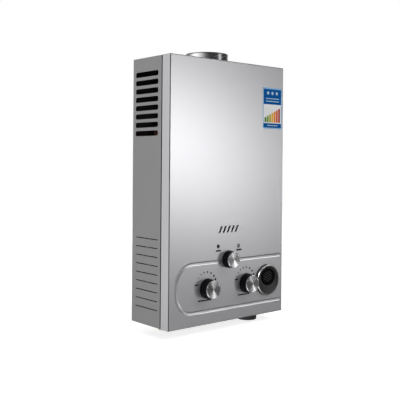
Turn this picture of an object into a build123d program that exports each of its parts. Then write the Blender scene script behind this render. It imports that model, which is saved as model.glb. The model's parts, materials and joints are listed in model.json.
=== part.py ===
"""Wall-hung tankless gas water heater with a stainless front, three control knobs and a flue collar.

Frame: +Z up, the front faces -Y, X runs to the right seen from the front.
The origin lies on the wall plane, at the middle of the four wall screws.
Heights written as H are measured up from the underside of the casing; places written as DEPTH
are measured out from the wall. All sizes are in millimetres.
"""
import math
import os

from build123d import *

# Casing
CASE_W = 350.0
CASE_D = 135.0
CASE_H = 590.0
SHEET = 0.8
COVER_SHEET = 0.8
COVER_FLANGE = 26.5
FOLD_R = 2.0
REVEAL = 4.0
REVEAL_DEPTH = 2.5
SIDE_INSET = 0.5
COVER_FIT = 0.3
TONGUE_SETBACK = 6.0
CORNER_GAP = 0.2

# Wall fixing ears
EAR_W = 32.0
EAR_H = 18.0
EAR_R = 6.0
WALL_HOLE_D = 8.0
WALL_HOLE_SPAN = 140.0
WALL_HOLE_RISE = 9.0

# Side vents
VENT_COUNT = 8
VENT_H = 11.6
VENT_R = 4.5
VENT_PITCH = 18.67
VENT_TOP = 37.2
VENT_BACK = 10.0
VENT_FRONT = 11.5
SLIT_COUNT = 9
SLIT_H = 2.0
SLIT_PITCH = 19.1
SLIT_BASE_H = 38.0
SLIT_BACK = 15.0
SLIT_FRONT = 9.5

# Pressed bead on the front cover
BEAD_W = 8.0
BEAD_DEPTH = 1.6
BEAD_CORNER_R = 44.0
BEAD_LEFT = 20.5
BEAD_RIGHT = 9.0
BEAD_TOP_H = 136.8
BEAD_BASE_H = 30.0

# Slanted flame window slots
WINDOW_COUNT = 5
WINDOW_PITCH = 12.4
WINDOW_W = 3.8
WINDOW_RISE = 14.5
WINDOW_LEAN = 7.5
WINDOW_X = -2.75
WINDOW_H = 208.2

# Control knobs and their valve spindles
FLAME_X = -66.0
WATER_X = 54.0
SEASON_X = -2.75
LOW_KNOB_H = 80.0
SEASON_RISE = 60.0
KNOB_D = 45.0
KNOB_FRONT_D = 40.8
KNOB_REACH = 22.5
SEASON_SHARE = 0.88
KNOB_GAP = 1.0
KNOB_WALL = 2.0
KNOB_FACE_T = 3.0
KNOB_HUB_D = 13.0
KNOB_FLUTES = 48
KNOB_FLUTE_R = 0.55
CAP_T = 3.4
CAP_EDGE = 0.3
CAP_CHAMFER = 0.7
CAP_RIM = 1.3
CAP_DISH = 0.35
POINTER_D = 2.6
POINTER_R = 13.5
POINTER_DEPTH = 0.5
FLAME_POINTER = 56.0
WATER_POINTER = 40.0
SEASON_POINTER = -42.0
STEM_D = 8.0
STEM_FLAT = 2.6
STEM_FIT = 0.05
STEM_HOLE_D = 12.0
PLUG_D = 16.0
PLUG_FIT = 0.08
PLUG_L = 34.0
PLUG_PORT_D = 8.0
GLAND_T = 2.0
GLAND_D = 34.0
GLAND_SCREW_R = 13.0
GLAND_SCREW_D = 3.0

# Round display
DISPLAY_X = 121.3
DISPLAY_H = 80.6
BEZEL_D = 73.5
BEZEL_REACH = 7.0
BEZEL_RIM = 3.2
BEZEL_SLEEVE_D = 61.0
BEZEL_SLEEVE_L = 8.0
BEZEL_HOLE_FIT = 0.3
DISPLAY_WINDOW_W = 51.0
DISPLAY_WINDOW_TALL = 41.0
DISPLAY_WINDOW_RISE = 6.8
DISPLAY_LENS_T = 2.0
DISPLAY_LIP = 1.5
DISPLAY_RECESS = 2.5
DISPLAY_FIT = 0.1
HOUSING_WALL = 2.0
HOUSING_DEPTH = 17.0
BOARD_T = 1.6
BOARD_STACK = 5.0
DIGITS_W = 33.0
DIGITS_H = 19.0

# Flue
FLUE_D = 99.0
FLUE_SHEET = 0.8
FLUE_RISE = 23.0
FLUE_DEPTH = 51.0
FLUE_FLANGE = 12.0
FLUE_SINK = 26.0
FLUE_SWAGE = 0.6
FLUE_FIT = 0.25
HOOD_SHEET = 0.8
HOOD_NECK = 28.0

# Burner, heat exchanger and their sheet-metal box
SIDE_SPACE = 45.0
FRONT_SPACE = 31.0
JACKET_DEPTH = 14.0
JACKET_SHEET = 1.0
JACKET_BASE_H = 240.0
JACKET_HEIGHT = 195.0
JACKET_CORNER_R = 9.0
HANGER_W = 24.0
HANGER_T = 1.5
HANGER_INSET = 30.0
HANGER_H = 12.0
HANGER_MARGIN = 8.0
TUBE_D = 12.0
TUBE_WALL = 1.0
TUBE_FIT = 0.05
PASS_COUNT = 3
PASS_MARGIN = 15.0
PASS_DROP = 22.0
FIN_PITCH = 15.0
FIN_T = 0.8
FIN_HEIGHT = 34.0
FIN_GAP = 0.5
COIL_GAP = 0.4
COIL_START = 35.0
COIL_PITCH = 30.0
PIPE_BEND_R = 15.0
BEND_SHARE = 0.48
RACK_SHEET = 1.0
RACK_HEIGHT = 62.0
RACK_LIP = 8.0
BURNER_PITCH = 19.0
BURNER_HEAD_W = 14.0
BURNER_NECK_W = 5.0
BURNER_TUBE_W = 11.0
BURNER_TUBE_H = 16.0
BURNER_NECK_H = 34.0
BURNER_HEIGHT = 48.0
BURNER_CLEAR = 0.3
BURNER_MOUTH_D = 8.0
BURNER_MOUTH_L = 40.0
BURNER_PORTS = 7
BURNER_PORT_W = 2.0
BURNER_PORT_DEPTH = 6.0
MANIFOLD_D = 16.0
MANIFOLD_WALL = 1.5
MANIFOLD_GAP = 1.0
MANIFOLD_END = 8.0
INJECTOR_STEM_D = 5.0
INJECTOR_HEX = 8.0
INJECTOR_HEX_L = 2.0
INJECTOR_TIP_L = 3.0
INJECTOR_FIT = 0.05
INJECTOR_HOLE_D = 10.0

# Gas, water and season valves
BRACKET_DEPTH = 30.0
BRACKET_T = 1.5
BRACKET_H = 44.0
BRACKET_FLANGE = 12.0
BRACKET_MARGIN = 14.0
BARREL_D = 40.0
VALVE_SETBACK = 27.0
SEASON_SETBACK = 11.0
SEASON_LENGTH = 38.0
SEASON_D = 36.0
BOSS_D = 28.0
PORT_D = 12.0
CROSS_PORT_D = 8.0
SMALL_BOSS_D = 22.0
ROD_DEPTH = 70.0
LINK_SETBACK = 40.0
LINK_FACE_RISE = 32.0
LINK_REACH = 24.0
LINK_BEND_R = 14.0
SEAT_REACH = 26.0
CAVITY_D = 12.0
CAVITY_L = 14.0
BONNET_FLANGE_D = 34.0
BONNET_FLANGE_T = 4.0
BONNET_D = 26.0
BONNET_L = 14.0
CHAMBER_D = 20.0
CHAMBER_L = 11.0
SOLENOID_REACH = 24.0
SOLENOID_FLANGE_T = 3.0
SOLENOID_D = 25.0
SOLENOID_L = 32.0
DIAPHRAGM_D = 60.0
DIAPHRAGM_T = 2.0
DIAPHRAGM_REACH = 30.0
DIAPHRAGM_RIM = 7.0
DIAPHRAGM_FLANGE_T = 6.0
DIAPHRAGM_RECESS = 4.0
COVER_CUP_L = 14.0
COVER_CUP_WALL = 3.0
COVER_BOSS_D = 14.0
COVER_BOSS_L = 6.0
ROD_D = 4.0
ROD_FIT = 0.08
PLATE_D = 40.0
PLATE_T = 2.5
REST_GAP = 0.3
POPPET_D = 17.0
POPPET_T = 3.0
COLLAR_D = 10.0
COLLAR_T = 3.0
COLLAR_OFFSET = 7.0
SWITCH_W = 20.0
SWITCH_T = 10.0
SWITCH_H = 16.0
SWITCH_RISE = 14.5
SWITCH_STAND_T = 2.0
LEVER_T = 0.6
LEVER_W = 6.0
LEVER_PIVOT_D = 2.0
LEVER_EYE_D = 4.0
LEVER_CLEAR = 0.5

# Water and gas connections under the casing
CONNECTOR_DEPTH = 45.0
HOT_X = -120.0
THREAD_D = 20.95
CONNECTOR_BORE_D = 14.0
CONNECTOR_DROP = 19.5
CONNECTOR_HEX = 27.0
CONNECTOR_HEX_T = 5.0
CONNECTOR_NECK_D = 20.4
CONNECTOR_FACE_H = 14.0
THREAD_CHAMFER = 1.0
SOCKET_D = 19.8
SOCKET_L = 18.0
SOCKET_FIT = 0.1
CONNECTOR_HOLE_FIT = 0.3
LOCKNUT_HEX = 30.0
LOCKNUT_T = 5.0
NUT_FIT = 0.05
PIPE_NUT_HEX = 20.0
PIPE_NUT_T = 10.0
FEED_REACH = 26.0
DRAIN_DEPTH = 80.0
DRAIN_BOSS_D = 16.0
DRAIN_FACE_H = 22.0
DRAIN_STEM_D = 9.0
DRAIN_STEM_L = 12.0
DRAIN_KNOB_D = 18.0
DRAIN_KNOB_T = 10.0
DRAIN_KNOB_BASE = 14.0
DRAIN_HOLE_D = 13.0
DRAIN_FLUTES = 16
DRAIN_FIT = 0.08

# Battery holder and its twist cap
BATTERY_X = 110.0
BATTERY_DEPTH = 80.5
CELL_D = 33.2
CELL_L = 59.5
CELL_NUB_D = 9.5
CELL_NUB_L = 1.5
CELL_CLEAR = 0.6
HOLDER_WALL = 1.6
HOLDER_FLANGE = 4.0
HOLDER_FLANGE_T = 2.0
HOLDER_FIT = 0.3
LID_D = 46.0
LID_REACH = 19.8
LID_GAP = 0.3
LID_SPIGOT_L = 5.0
LID_SPIGOT_FIT = 0.1
LID_GRIP_W = 7.0
LID_GRIP_DEPTH = 9.0
LID_EDGE_R = 1.2
LID_FLUTES = 28
LID_FLUTE_R = 0.7

# Ignition, sensing and fixings
ELECTRODE_SPAN = 60.0
ELECTRODE_RISE = 12.0
CERAMIC_D = 6.0
CERAMIC_OUT = 16.0
CERAMIC_IN = 14.0
CERAMIC_FLANGE_D = 12.0
CERAMIC_FLANGE_T = 2.0
CERAMIC_FIT = 0.1
ELECTRODE_WIRE_D = 1.6
ELECTRODE_WIRE_L = 18.0
IGNITER_W = 22.0
IGNITER_DEPTH = 50.0
IGNITER_D = 48.0
IGNITER_H = 80.0
IGNITER_BASE_H = 300.0
IGNITER_R = 3.0
LEAD_D = 4.0
LEAD_BEND_R = 9.0
LEAD_PITCH = 5.0
LEAD_FRONT_GAP = 5.0
LEAD_SIDE = 10.0
SENSOR_D = 16.0
SENSOR_T = 9.0
SENSOR_X = 60.0
SENSOR_DROP = 70.0
CLIP_D = 20.0
CLIP_L = 12.0
CLIP_H = 150.0
SCREW_D = 3.9
SCREW_HEAD_D = 7.5
SCREW_HEAD_T = 2.2
SCREW_L = 8.0
SCREW_FIT = 0.25
SCREW_SPAN = 240.0
SCREW_SETBACK = 14.0

# Places worked out from the driving sizes
FLOOR_Z = -CASE_H / 2
FRONT_Y = -CASE_D
COVER_BACK_Y = FRONT_Y + COVER_FLANGE
STEP_Y = COVER_BACK_Y + REVEAL
TONGUE_Y = FRONT_Y + TONGUE_SETBACK
SIDE_X = CASE_W / 2 - SIDE_INSET
TONGUE_X = SIDE_X - REVEAL_DEPTH
TONGUE_DROP = COVER_SHEET + COVER_FIT - SIDE_INSET
PLATE_HALF_W = TONGUE_X - SHEET - CORNER_GAP
JACKET_X = CASE_W / 2 - SIDE_SPACE
JACKET_BACK_Y = -JACKET_DEPTH
JACKET_FRONT_Y = FRONT_Y + FRONT_SPACE
JACKET_TOP_H = JACKET_BASE_H + JACKET_HEIGHT
RACK_BASE_H = JACKET_BASE_H - RACK_HEIGHT
COIL_OFFSET = TUBE_D / 2 + COIL_GAP
COIL_BEND_R = JACKET_CORNER_R + COIL_OFFSET
COIL_X = JACKET_X + COIL_OFFSET
OUTER_PIPE_X = COIL_X + TUBE_D + 2 * COIL_GAP
BURNER_BASE_H = RACK_BASE_H + RACK_SHEET
MANIFOLD_Y = JACKET_FRONT_Y - MANIFOLD_GAP - MANIFOLD_D / 2
MANIFOLD_H = BURNER_BASE_H + BURNER_TUBE_H / 2
VALVE_BACK_Y = -BRACKET_DEPTH
VALVE_FRONT_Y = FRONT_Y + VALVE_SETBACK
SEASON_FRONT_Y = FRONT_Y + SEASON_SETBACK
SEASON_BACK_Y = SEASON_FRONT_Y + SEASON_LENGTH
ROD_Y = -ROD_DEPTH
LINK_Y = FRONT_Y + LINK_SETBACK
CONNECTOR_Y = -CONNECTOR_DEPTH
PASS_H = JACKET_TOP_H - PASS_DROP
SEAT_X = FLAME_X + SEAT_REACH
BONNET_END_X = SEAT_X + BONNET_L
POPPET_SEAT_X = SEAT_X + CHAMBER_L
DIAPHRAGM_X = WATER_X - DIAPHRAGM_REACH
CUP_X = DIAPHRAGM_X - DIAPHRAGM_T
CUP_END_X = CUP_X - COVER_CUP_L
COLLAR_X = (BONNET_END_X + CUP_END_X - COVER_BOSS_L) / 2 + COLLAR_OFFSET
HOLDER_ID = CELL_D + 2 * CELL_CLEAR
HOLDER_OD = HOLDER_ID + 2 * HOLDER_WALL
HOLDER_TOP_H = LID_SPIGOT_L + 2 * (CELL_L + CELL_NUB_L) + CELL_CLEAR + HOLDER_WALL
BEZEL_HOLE_D = BEZEL_SLEEVE_D + 2 * BEZEL_HOLE_FIT
SEASON_KNOB_H = LOW_KNOB_H + SEASON_RISE
UNDERSIDE_H = SIDE_INSET
DECK_H = SIDE_INSET + SHEET
ROOF_H = CASE_H - SIDE_INSET


def at(height):
    """Z of a height above the casing's underside."""
    return FLOOR_Z + height


def block(x, y, z):
    """Box between two limits on each axis."""
    centre = Pos((x[0] + x[1]) / 2, (y[0] + y[1]) / 2, (z[0] + z[1]) / 2)
    return centre * Box(x[1] - x[0], y[1] - y[0], z[1] - z[0])


def rod_x(diameter, x0, x1, y, z):
    """Round bar along X."""
    return Pos((x0 + x1) / 2, y, z) * Rot(0, 90, 0) * Cylinder(diameter / 2, abs(x1 - x0))


def rod_y(diameter, y0, y1, x, z):
    """Round bar along Y."""
    return Pos(x, (y0 + y1) / 2, z) * Rot(90, 0, 0) * Cylinder(diameter / 2, abs(y1 - y0))


def rod_z(diameter, z0, z1, x, y):
    """Round bar along Z."""
    return Pos(x, y, (z0 + z1) / 2) * Cylinder(diameter / 2, abs(z1 - z0))


def hex_bar(flats, length):
    """Hexagonal bar up from the origin, measured across its flats."""
    return extrude(RegularPolygon(flats / 2, 6, major_radius=False), length)


def front_plane(x, height):
    """Plane on the cover's face, with its normal out of the front."""
    return Plane(origin=(x, FRONT_Y, at(height)), x_dir=(1, 0, 0), z_dir=(0, -1, 0))


def inward(y):
    """Distance along the front plane's normal of a place behind the face."""
    return FRONT_Y - y


def folded(points, thickness):
    """Section of a sheet that follows a line of square bends, lying to the line's left."""
    line = Polyline(*points)
    return make_face(offset(line, amount=thickness, side=Side.LEFT, kind=Kind.INTERSECTION))


def bent_line(points, radius):
    """Straight runs joined by round bends, none larger than its two runs leave room for."""
    room = [BEND_SHARE * math.dist(start, end) for start, end in zip(points, points[1:])]
    room[0] *= 2
    room[-1] *= 2
    radii = [min(radius, *pair) for pair in zip(room, room[1:])]
    return FilletPolyline(*points, radius=radii)


def bent_tube(points, radius, diameter, wall):
    """Hollow tube along straight runs with round bends."""
    path = bent_line(points, radius)
    ring = Circle(diameter / 2) - Circle(diameter / 2 - wall)
    return sweep(Plane(origin=path @ 0, z_dir=path % 0) * ring, path=path)


def group(solids):
    """Several separate pieces of one kind."""
    return Compound([solid for item in solids for solid in item.solids()])


def screw_columns():
    """X of the two columns of screws that hold the front cover."""
    return (-SCREW_SPAN / 2, SCREW_SPAN / 2)


def screw_line(diameter, x):
    """Upright drill through the cover's edges and the tongues behind them."""
    return rod_z(diameter, at(0) - SCREW_L, at(CASE_H) + SCREW_L, x, FRONT_Y + SCREW_SETBACK)


def rear_shell():
    """Back and both sides from one folded sheet, with vents, tongues for the cover and wall ears."""
    section = folded(
        [
            (TONGUE_X, TONGUE_Y),
            (TONGUE_X, STEP_Y),
            (SIDE_X, STEP_Y),
            (SIDE_X, 0),
            (-SIDE_X, 0),
            (-SIDE_X, STEP_Y),
            (-TONGUE_X, STEP_Y),
            (-TONGUE_X, TONGUE_Y),
        ],
        SHEET,
    )
    shell = Pos(0, 0, at(UNDERSIDE_H)) * extrude(section, ROOF_H - UNDERSIDE_H)
    for base in (UNDERSIDE_H, ROOF_H - SHEET):
        shell -= block((-CASE_W, CASE_W), (FRONT_Y, -SHEET), (at(base), at(base + SHEET)))
    through = Plane.YZ.offset(-CASE_W / 2)
    vent_back = -VENT_BACK
    vent_front = STEP_Y + VENT_FRONT
    vent = RectangleRounded(vent_back - vent_front, VENT_H, VENT_R)
    for index in range(VENT_COUNT):
        centre = Pos((vent_back + vent_front) / 2, at(CASE_H - VENT_TOP - index * VENT_PITCH))
        shell -= extrude(through * centre * vent, CASE_W)
    slit_back = -SLIT_BACK
    slit_front = STEP_Y + SLIT_FRONT
    slit = SlotOverall(slit_back - slit_front, SLIT_H)
    for index in range(SLIT_COUNT):
        centre = Pos((slit_back + slit_front) / 2, at(SLIT_BASE_H + index * SLIT_PITCH))
        shell -= extrude(through * centre * slit, CASE_W)
    wall = Plane(origin=(0, 0, 0), x_dir=(1, 0, 0), z_dir=(0, -1, 0))
    ear = RectangleRounded(EAR_W, 2 * EAR_H, EAR_R)
    for x in (-WALL_HOLE_SPAN / 2, WALL_HOLE_SPAN / 2):
        for edge, way in ((ROOF_H, 1), (UNDERSIDE_H, -1)):
            shell += extrude(wall * Pos(x, at(edge)) * ear, SHEET)
            hole_z = at(CASE_H / 2) + way * (CASE_H / 2 + WALL_HOLE_RISE)
            shell -= rod_y(WALL_HOLE_D, -SHEET, 0, x, hole_z)
    return shell


def end_plate(way):
    """Top or bottom plate: full width over the sides, stepped down to a tongue inside the cover."""
    outer_z = at(ROOF_H) if way > 0 else at(UNDERSIDE_H)
    points = [
        (-SHEET, 0),
        (STEP_Y, 0),
        (STEP_Y, -TONGUE_DROP),
        (TONGUE_Y, -TONGUE_DROP),
    ]
    profile = Plane.YZ * folded(points, SHEET)
    plate = extrude(profile, PLATE_HALF_W, both=True)
    plate += block((-SIDE_X, SIDE_X), (STEP_Y, -SHEET), (-SHEET, 0))
    if way < 0:
        plate = mirror(plate, Plane.XY)
    plate = Pos(0, 0, outer_z) * plate
    for x in screw_columns():
        plate -= screw_line(SCREW_D + 2 * SCREW_FIT, x)
    return plate


def top_plate():
    """Top plate with the hole that the flue collar passes through."""
    hole = rod_z(FLUE_D + 2 * FLUE_FIT, at(ROOF_H - 2 * SHEET), at(CASE_H), 0, -FLUE_DEPTH)
    return end_plate(1) - hole


def bottom_plate():
    """Bottom plate with holes for the three connections, the drain and the battery holder."""
    plate = end_plate(-1)
    drill_z = (at(0), at(DECK_H + SHEET))
    for x in (HOT_X, FLAME_X, WATER_X):
        plate -= rod_z(CONNECTOR_NECK_D + 2 * CONNECTOR_HOLE_FIT, *drill_z, x, CONNECTOR_Y)
    plate -= rod_z(DRAIN_HOLE_D, *drill_z, WATER_X, -DRAIN_DEPTH)
    plate -= rod_z(HOLDER_OD + 2 * HOLDER_FIT, *drill_z, BATTERY_X, -BATTERY_DEPTH)
    return plate


def bead_path(y):
    """Centreline of the D-shaped bead, open towards the right edge."""
    right = CASE_W / 2 - BEAD_RIGHT
    left = -CASE_W / 2 + BEAD_LEFT
    points = [
        (right, y, at(BEAD_TOP_H)),
        (left, y, at(BEAD_TOP_H)),
        (left, y, at(BEAD_BASE_H)),
        (right, y, at(BEAD_BASE_H)),
    ]
    return FilletPolyline(*points, radius=BEAD_CORNER_R)


def bead_tool(radius, y):
    """Round bar along the bead with ball ends."""
    path = bead_path(y)
    tool = sweep(Plane(origin=path @ 0, z_dir=path % 0) * Circle(radius), path=path)
    return [tool, Pos(path @ 0) * Sphere(radius), Pos(path @ 1) * Sphere(radius)]


def front_cover():
    """Stainless pan with a pressed bead, knob holes, a display hole and slanted window slots."""
    edge_x = CASE_W / 2
    outer = block((-edge_x, edge_x), (FRONT_Y, COVER_BACK_Y), (at(0), at(CASE_H)))
    outer = fillet(outer.faces().sort_by(Axis.Y)[0].edges(), FOLD_R)
    inner_x = edge_x - COVER_SHEET
    inner_y = (FRONT_Y + COVER_SHEET, COVER_BACK_Y + COVER_SHEET)
    inner = block((-inner_x, inner_x), inner_y, (at(COVER_SHEET), at(CASE_H - COVER_SHEET)))
    inner = fillet(inner.faces().sort_by(Axis.Y)[0].edges(), FOLD_R - COVER_SHEET / 2)
    cover = outer - inner
    bead_r = BEAD_W**2 / (8 * BEAD_DEPTH) + BEAD_DEPTH / 2
    bead_y = FRONT_Y - bead_r + BEAD_DEPTH
    behind_y = (FRONT_Y + COVER_SHEET / 2, COVER_BACK_Y)
    behind = block((-inner_x, inner_x), behind_y, (at(COVER_SHEET), at(CASE_H / 2)))
    for tool in bead_tool(bead_r + COVER_SHEET, bead_y):
        cover += tool & behind
    for tool in bead_tool(bead_r, bead_y):
        cover -= tool
    depth = 4 * COVER_SHEET
    lean = math.degrees(math.atan2(WINDOW_RISE, WINDOW_LEAN))
    slot = Rot(0, 0, lean) * SlotOverall(math.hypot(WINDOW_RISE, WINDOW_LEAN), WINDOW_W)
    for index in range(WINDOW_COUNT):
        x = WINDOW_X + (index - (WINDOW_COUNT - 1) / 2) * WINDOW_PITCH
        cover -= extrude(front_plane(x, WINDOW_H) * slot, depth, both=True)
    for x, height in ((FLAME_X, LOW_KNOB_H), (WATER_X, LOW_KNOB_H), (SEASON_X, SEASON_KNOB_H)):
        cover -= extrude(front_plane(x, height) * Circle(STEM_HOLE_D / 2), depth, both=True)
    cover -= extrude(front_plane(DISPLAY_X, DISPLAY_H) * Circle(BEZEL_HOLE_D / 2), depth, both=True)
    for x in screw_columns():
        cover -= screw_line(SCREW_D + 2 * SCREW_FIT, x)
    return cover


def cover_screws():
    """Pan-head screws through the cover's top and bottom edges."""
    screws = []
    y = FRONT_Y + SCREW_SETBACK
    for x in screw_columns():
        for head_z, way in ((at(0), -1), (at(CASE_H), 1)):
            head = rod_z(SCREW_HEAD_D, head_z, head_z + way * SCREW_HEAD_T, x, y)
            rim = head.edges().sort_by(Axis.Z)[-1 if way > 0 else 0]
            head = fillet(rim, SCREW_HEAD_T / 2)
            screws.append(head + rod_z(SCREW_D, head_z - way * SCREW_L, head_z, x, y))
    return group(screws)


def stem_section(clearance):
    """D-shaped section of a spindle, grown by a clearance."""
    reach = STEM_D
    flat = Pos(0, STEM_FLAT + clearance + reach / 2) * Rectangle(2 * reach, reach)
    return Circle(STEM_D / 2 + clearance) - flat


def knob_body(share):
    """Moulded knob: a tapered, fluted cup with a hub that takes the D-shaped spindle."""
    base_r = share * KNOB_D / 2
    front_r = share * KNOB_FRONT_D / 2
    length = share * KNOB_REACH - CAP_T - KNOB_GAP
    depth = length - KNOB_FACE_T
    roof_r = front_r + (base_r - front_r) * KNOB_FACE_T / length
    from_base = (Align.CENTER, Align.CENTER, Align.MIN)
    body = Cone(base_r, front_r, length, align=from_base)
    hollow = Cone(base_r - KNOB_WALL, roof_r - KNOB_WALL, depth, align=from_base)
    body -= hollow - Cylinder(KNOB_HUB_D / 2, depth, align=from_base)
    body -= extrude(stem_section(STEM_FIT), depth)
    lean = math.degrees(math.atan2(base_r - front_r, length))
    flute = Rot(0, -lean, 0) * Cylinder(KNOB_FLUTE_R, 2 * length)
    ring = PolarLocations((base_r + front_r) / 2 + KNOB_FLUTE_R / 3, KNOB_FLUTES)
    body -= [Pos(0, 0, length / 2) * place * flute for place in ring]
    return Pos(0, 0, KNOB_GAP) * body


def knob_cap(share, pointer):
    """Spun aluminium face with a chamfered rim, a shallow dish and a pointer dimple."""
    front = share * KNOB_REACH
    base = front - CAP_T
    edge = share * KNOB_FRONT_D / 2 - CAP_EDGE
    rim = edge - CAP_CHAMFER
    dish = rim - CAP_RIM
    outline = Polyline(
        (0, base),
        (edge, base),
        (edge, front - CAP_CHAMFER),
        (rim, front),
        (dish, front),
        (dish - CAP_DISH, front - CAP_DISH),
        (0, front - CAP_DISH),
        close=True,
    )
    cap = revolve(Plane.XZ * make_face(outline), Axis.Z)
    mark = Rot(0, 0, -pointer) * Pos(0, share * POINTER_R, front - CAP_DISH) * Sphere(POINTER_D / 2)
    return cap - Pos(0, 0, POINTER_D / 2 - POINTER_DEPTH) * mark


def spindle(share, valve_front_y):
    """Valve spindle: a D-shaped stem into the knob and a ported plug in the valve bore."""
    stem_end = share * KNOB_REACH - CAP_T - KNOB_FACE_T - STEM_FIT
    plug_front = inward(valve_front_y) - STEM_FIT
    stem = extrude(stem_section(0), stem_end)
    stem += Pos(0, 0, plug_front) * extrude(Circle(STEM_D / 2), -plug_front)
    plug = Pos(0, 0, plug_front - PLUG_L) * extrude(Circle(PLUG_D / 2 - PLUG_FIT), PLUG_L)
    port = Pos(0, 0, plug_front - PLUG_L / 2) * Rot(0, 90, 0) * Cylinder(PLUG_PORT_D / 2, 2 * PLUG_D)
    return stem + (plug - port)


def control(name, x, height, valve_front_y, share, pointer):
    """Knob, face and spindle of one control, its knob a share of the full size."""
    place = front_plane(x, height)
    return {
        f"{name}_knob": place * knob_body(share),
        f"{name}_knob_face": place * knob_cap(share, pointer),
        f"{name}_spindle": place * spindle(share, valve_front_y),
    }


def control_places():
    """X, height and valve front of the three controls."""
    return {
        "flame": (FLAME_X, LOW_KNOB_H, VALVE_FRONT_Y),
        "water": (WATER_X, LOW_KNOB_H, VALVE_FRONT_Y),
        "season": (SEASON_X, SEASON_KNOB_H, SEASON_FRONT_Y),
    }


def spindle_glands():
    """Plates that keep the three spindles in their valves, each with two screw holes."""
    plates = []
    for x, height, valve_front_y in control_places().values():
        section = Circle(GLAND_D / 2) - Circle(STEM_D / 2 + PLUG_FIT)
        for side in (-1, 1):
            section -= Pos(side * GLAND_SCREW_R, 0) * Circle(GLAND_SCREW_D / 2)
        plates.append(front_plane(x, height) * Pos(0, 0, inward(valve_front_y)) * extrude(section, GLAND_T))
    return group(plates)


def display_bezel():
    """Ring round the display: a rounded rim, a lopsided funnel to an oval window, a sleeve to the back."""
    outer = BEZEL_D / 2
    sleeve = BEZEL_SLEEVE_D / 2
    inner = sleeve - HOUSING_WALL
    seat = BEZEL_REACH - DISPLAY_RECESS
    back = seat - DISPLAY_LIP
    outline = Polyline(
        (0, back),
        (inner, back),
        (inner, -BEZEL_SLEEVE_L),
        (sleeve, -BEZEL_SLEEVE_L),
        (sleeve, 0),
        (outer, 0),
        (outer, BEZEL_REACH - BEZEL_RIM),
        (outer - BEZEL_RIM / 2, BEZEL_REACH),
        (0, BEZEL_REACH),
        close=True,
    )
    ring = revolve(Plane.XZ * make_face(outline), Axis.Z)
    rim = ring.edges().filter_by(GeomType.CIRCLE).sort_by(Axis.Z)[-2:]
    ring = fillet(rim, BEZEL_RIM / 5)
    window = Ellipse(DISPLAY_WINDOW_W / 2, DISPLAY_WINDOW_TALL / 2)
    throat = Pos(0, DISPLAY_WINDOW_RISE, seat) * window
    ring -= loft([throat, Pos(0, 0, BEZEL_REACH) * Circle(outer - BEZEL_RIM)])
    ring -= Pos(0, DISPLAY_WINDOW_RISE, back) * extrude(window, DISPLAY_LIP)
    return front_plane(DISPLAY_X, DISPLAY_H) * ring


def display_lens():
    """Dark window disc that lies behind the bezel's lip."""
    front = BEZEL_REACH - DISPLAY_RECESS - DISPLAY_LIP
    radius = BEZEL_SLEEVE_D / 2 - HOUSING_WALL - DISPLAY_FIT
    disc = Pos(0, 0, front - DISPLAY_LENS_T) * extrude(Circle(radius), DISPLAY_LENS_T)
    return front_plane(DISPLAY_X, DISPLAY_H) * disc


def display_board():
    """Round circuit board with its digit block, lying against the window."""
    lens_back = BEZEL_REACH - DISPLAY_RECESS - DISPLAY_LIP - DISPLAY_LENS_T
    radius = BEZEL_SLEEVE_D / 2 - HOUSING_WALL - DISPLAY_FIT
    digits = Rectangle(DIGITS_W, DIGITS_H)
    board = Pos(0, DISPLAY_WINDOW_RISE, lens_back - BOARD_STACK) * extrude(digits, BOARD_STACK)
    board += Pos(0, 0, lens_back - BOARD_STACK - BOARD_T) * extrude(Circle(radius), BOARD_T)
    return front_plane(DISPLAY_X, DISPLAY_H) * board


def display_housing():
    """Cup behind the cover that closes the display and holds the bezel's sleeve."""
    inside = BEZEL_SLEEVE_D / 2 + DISPLAY_FIT
    cup = Pos(0, 0, -HOUSING_DEPTH) * extrude(Circle(inside + HOUSING_WALL), HOUSING_DEPTH - COVER_SHEET)
    hollow_l = HOUSING_DEPTH - COVER_SHEET - HOUSING_WALL
    cup -= Pos(0, 0, HOUSING_WALL - HOUSING_DEPTH) * extrude(Circle(inside), hollow_l)
    return front_plane(DISPLAY_X, DISPLAY_H) * cup


def flue_collar():
    """Round spigot for the flue pipe, with a flange trimmed to the top plate's flat and a narrower sleeve."""
    sleeve_z = (at(ROOF_H - FLUE_SINK), at(ROOF_H + FLUE_SHEET))
    flange_z = (at(ROOF_H), at(ROOF_H + FLUE_SHEET))
    spigot_z = (at(ROOF_H + FLUE_SHEET), at(CASE_H + FLUE_RISE))
    sleeve_d = FLUE_D - 2 * FLUE_SWAGE
    flange = rod_z(FLUE_D + 2 * FLUE_FLANGE, *flange_z, 0, -FLUE_DEPTH)
    collar = flange & block((-CASE_W / 2, CASE_W / 2), (STEP_Y, -SHEET), flange_z)
    collar += rod_z(sleeve_d, *sleeve_z, 0, -FLUE_DEPTH)
    collar += rod_z(FLUE_D, *spigot_z, 0, -FLUE_DEPTH)
    collar -= rod_z(sleeve_d - 2 * FLUE_SHEET, *sleeve_z, 0, -FLUE_DEPTH)
    return collar - rod_z(FLUE_D - 2 * FLUE_SHEET, *spigot_z, 0, -FLUE_DEPTH)


def jacket_outline(base_h, shrink):
    """Round-cornered outline of the heat exchanger, drawn in by a wall thickness."""
    depth = JACKET_BACK_Y - JACKET_FRONT_Y
    plane = Plane(origin=(0, (JACKET_BACK_Y + JACKET_FRONT_Y) / 2, at(base_h)))
    return plane * RectangleRounded(2 * JACKET_X - 2 * shrink, depth - 2 * shrink, JACKET_CORNER_R - shrink)


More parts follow.
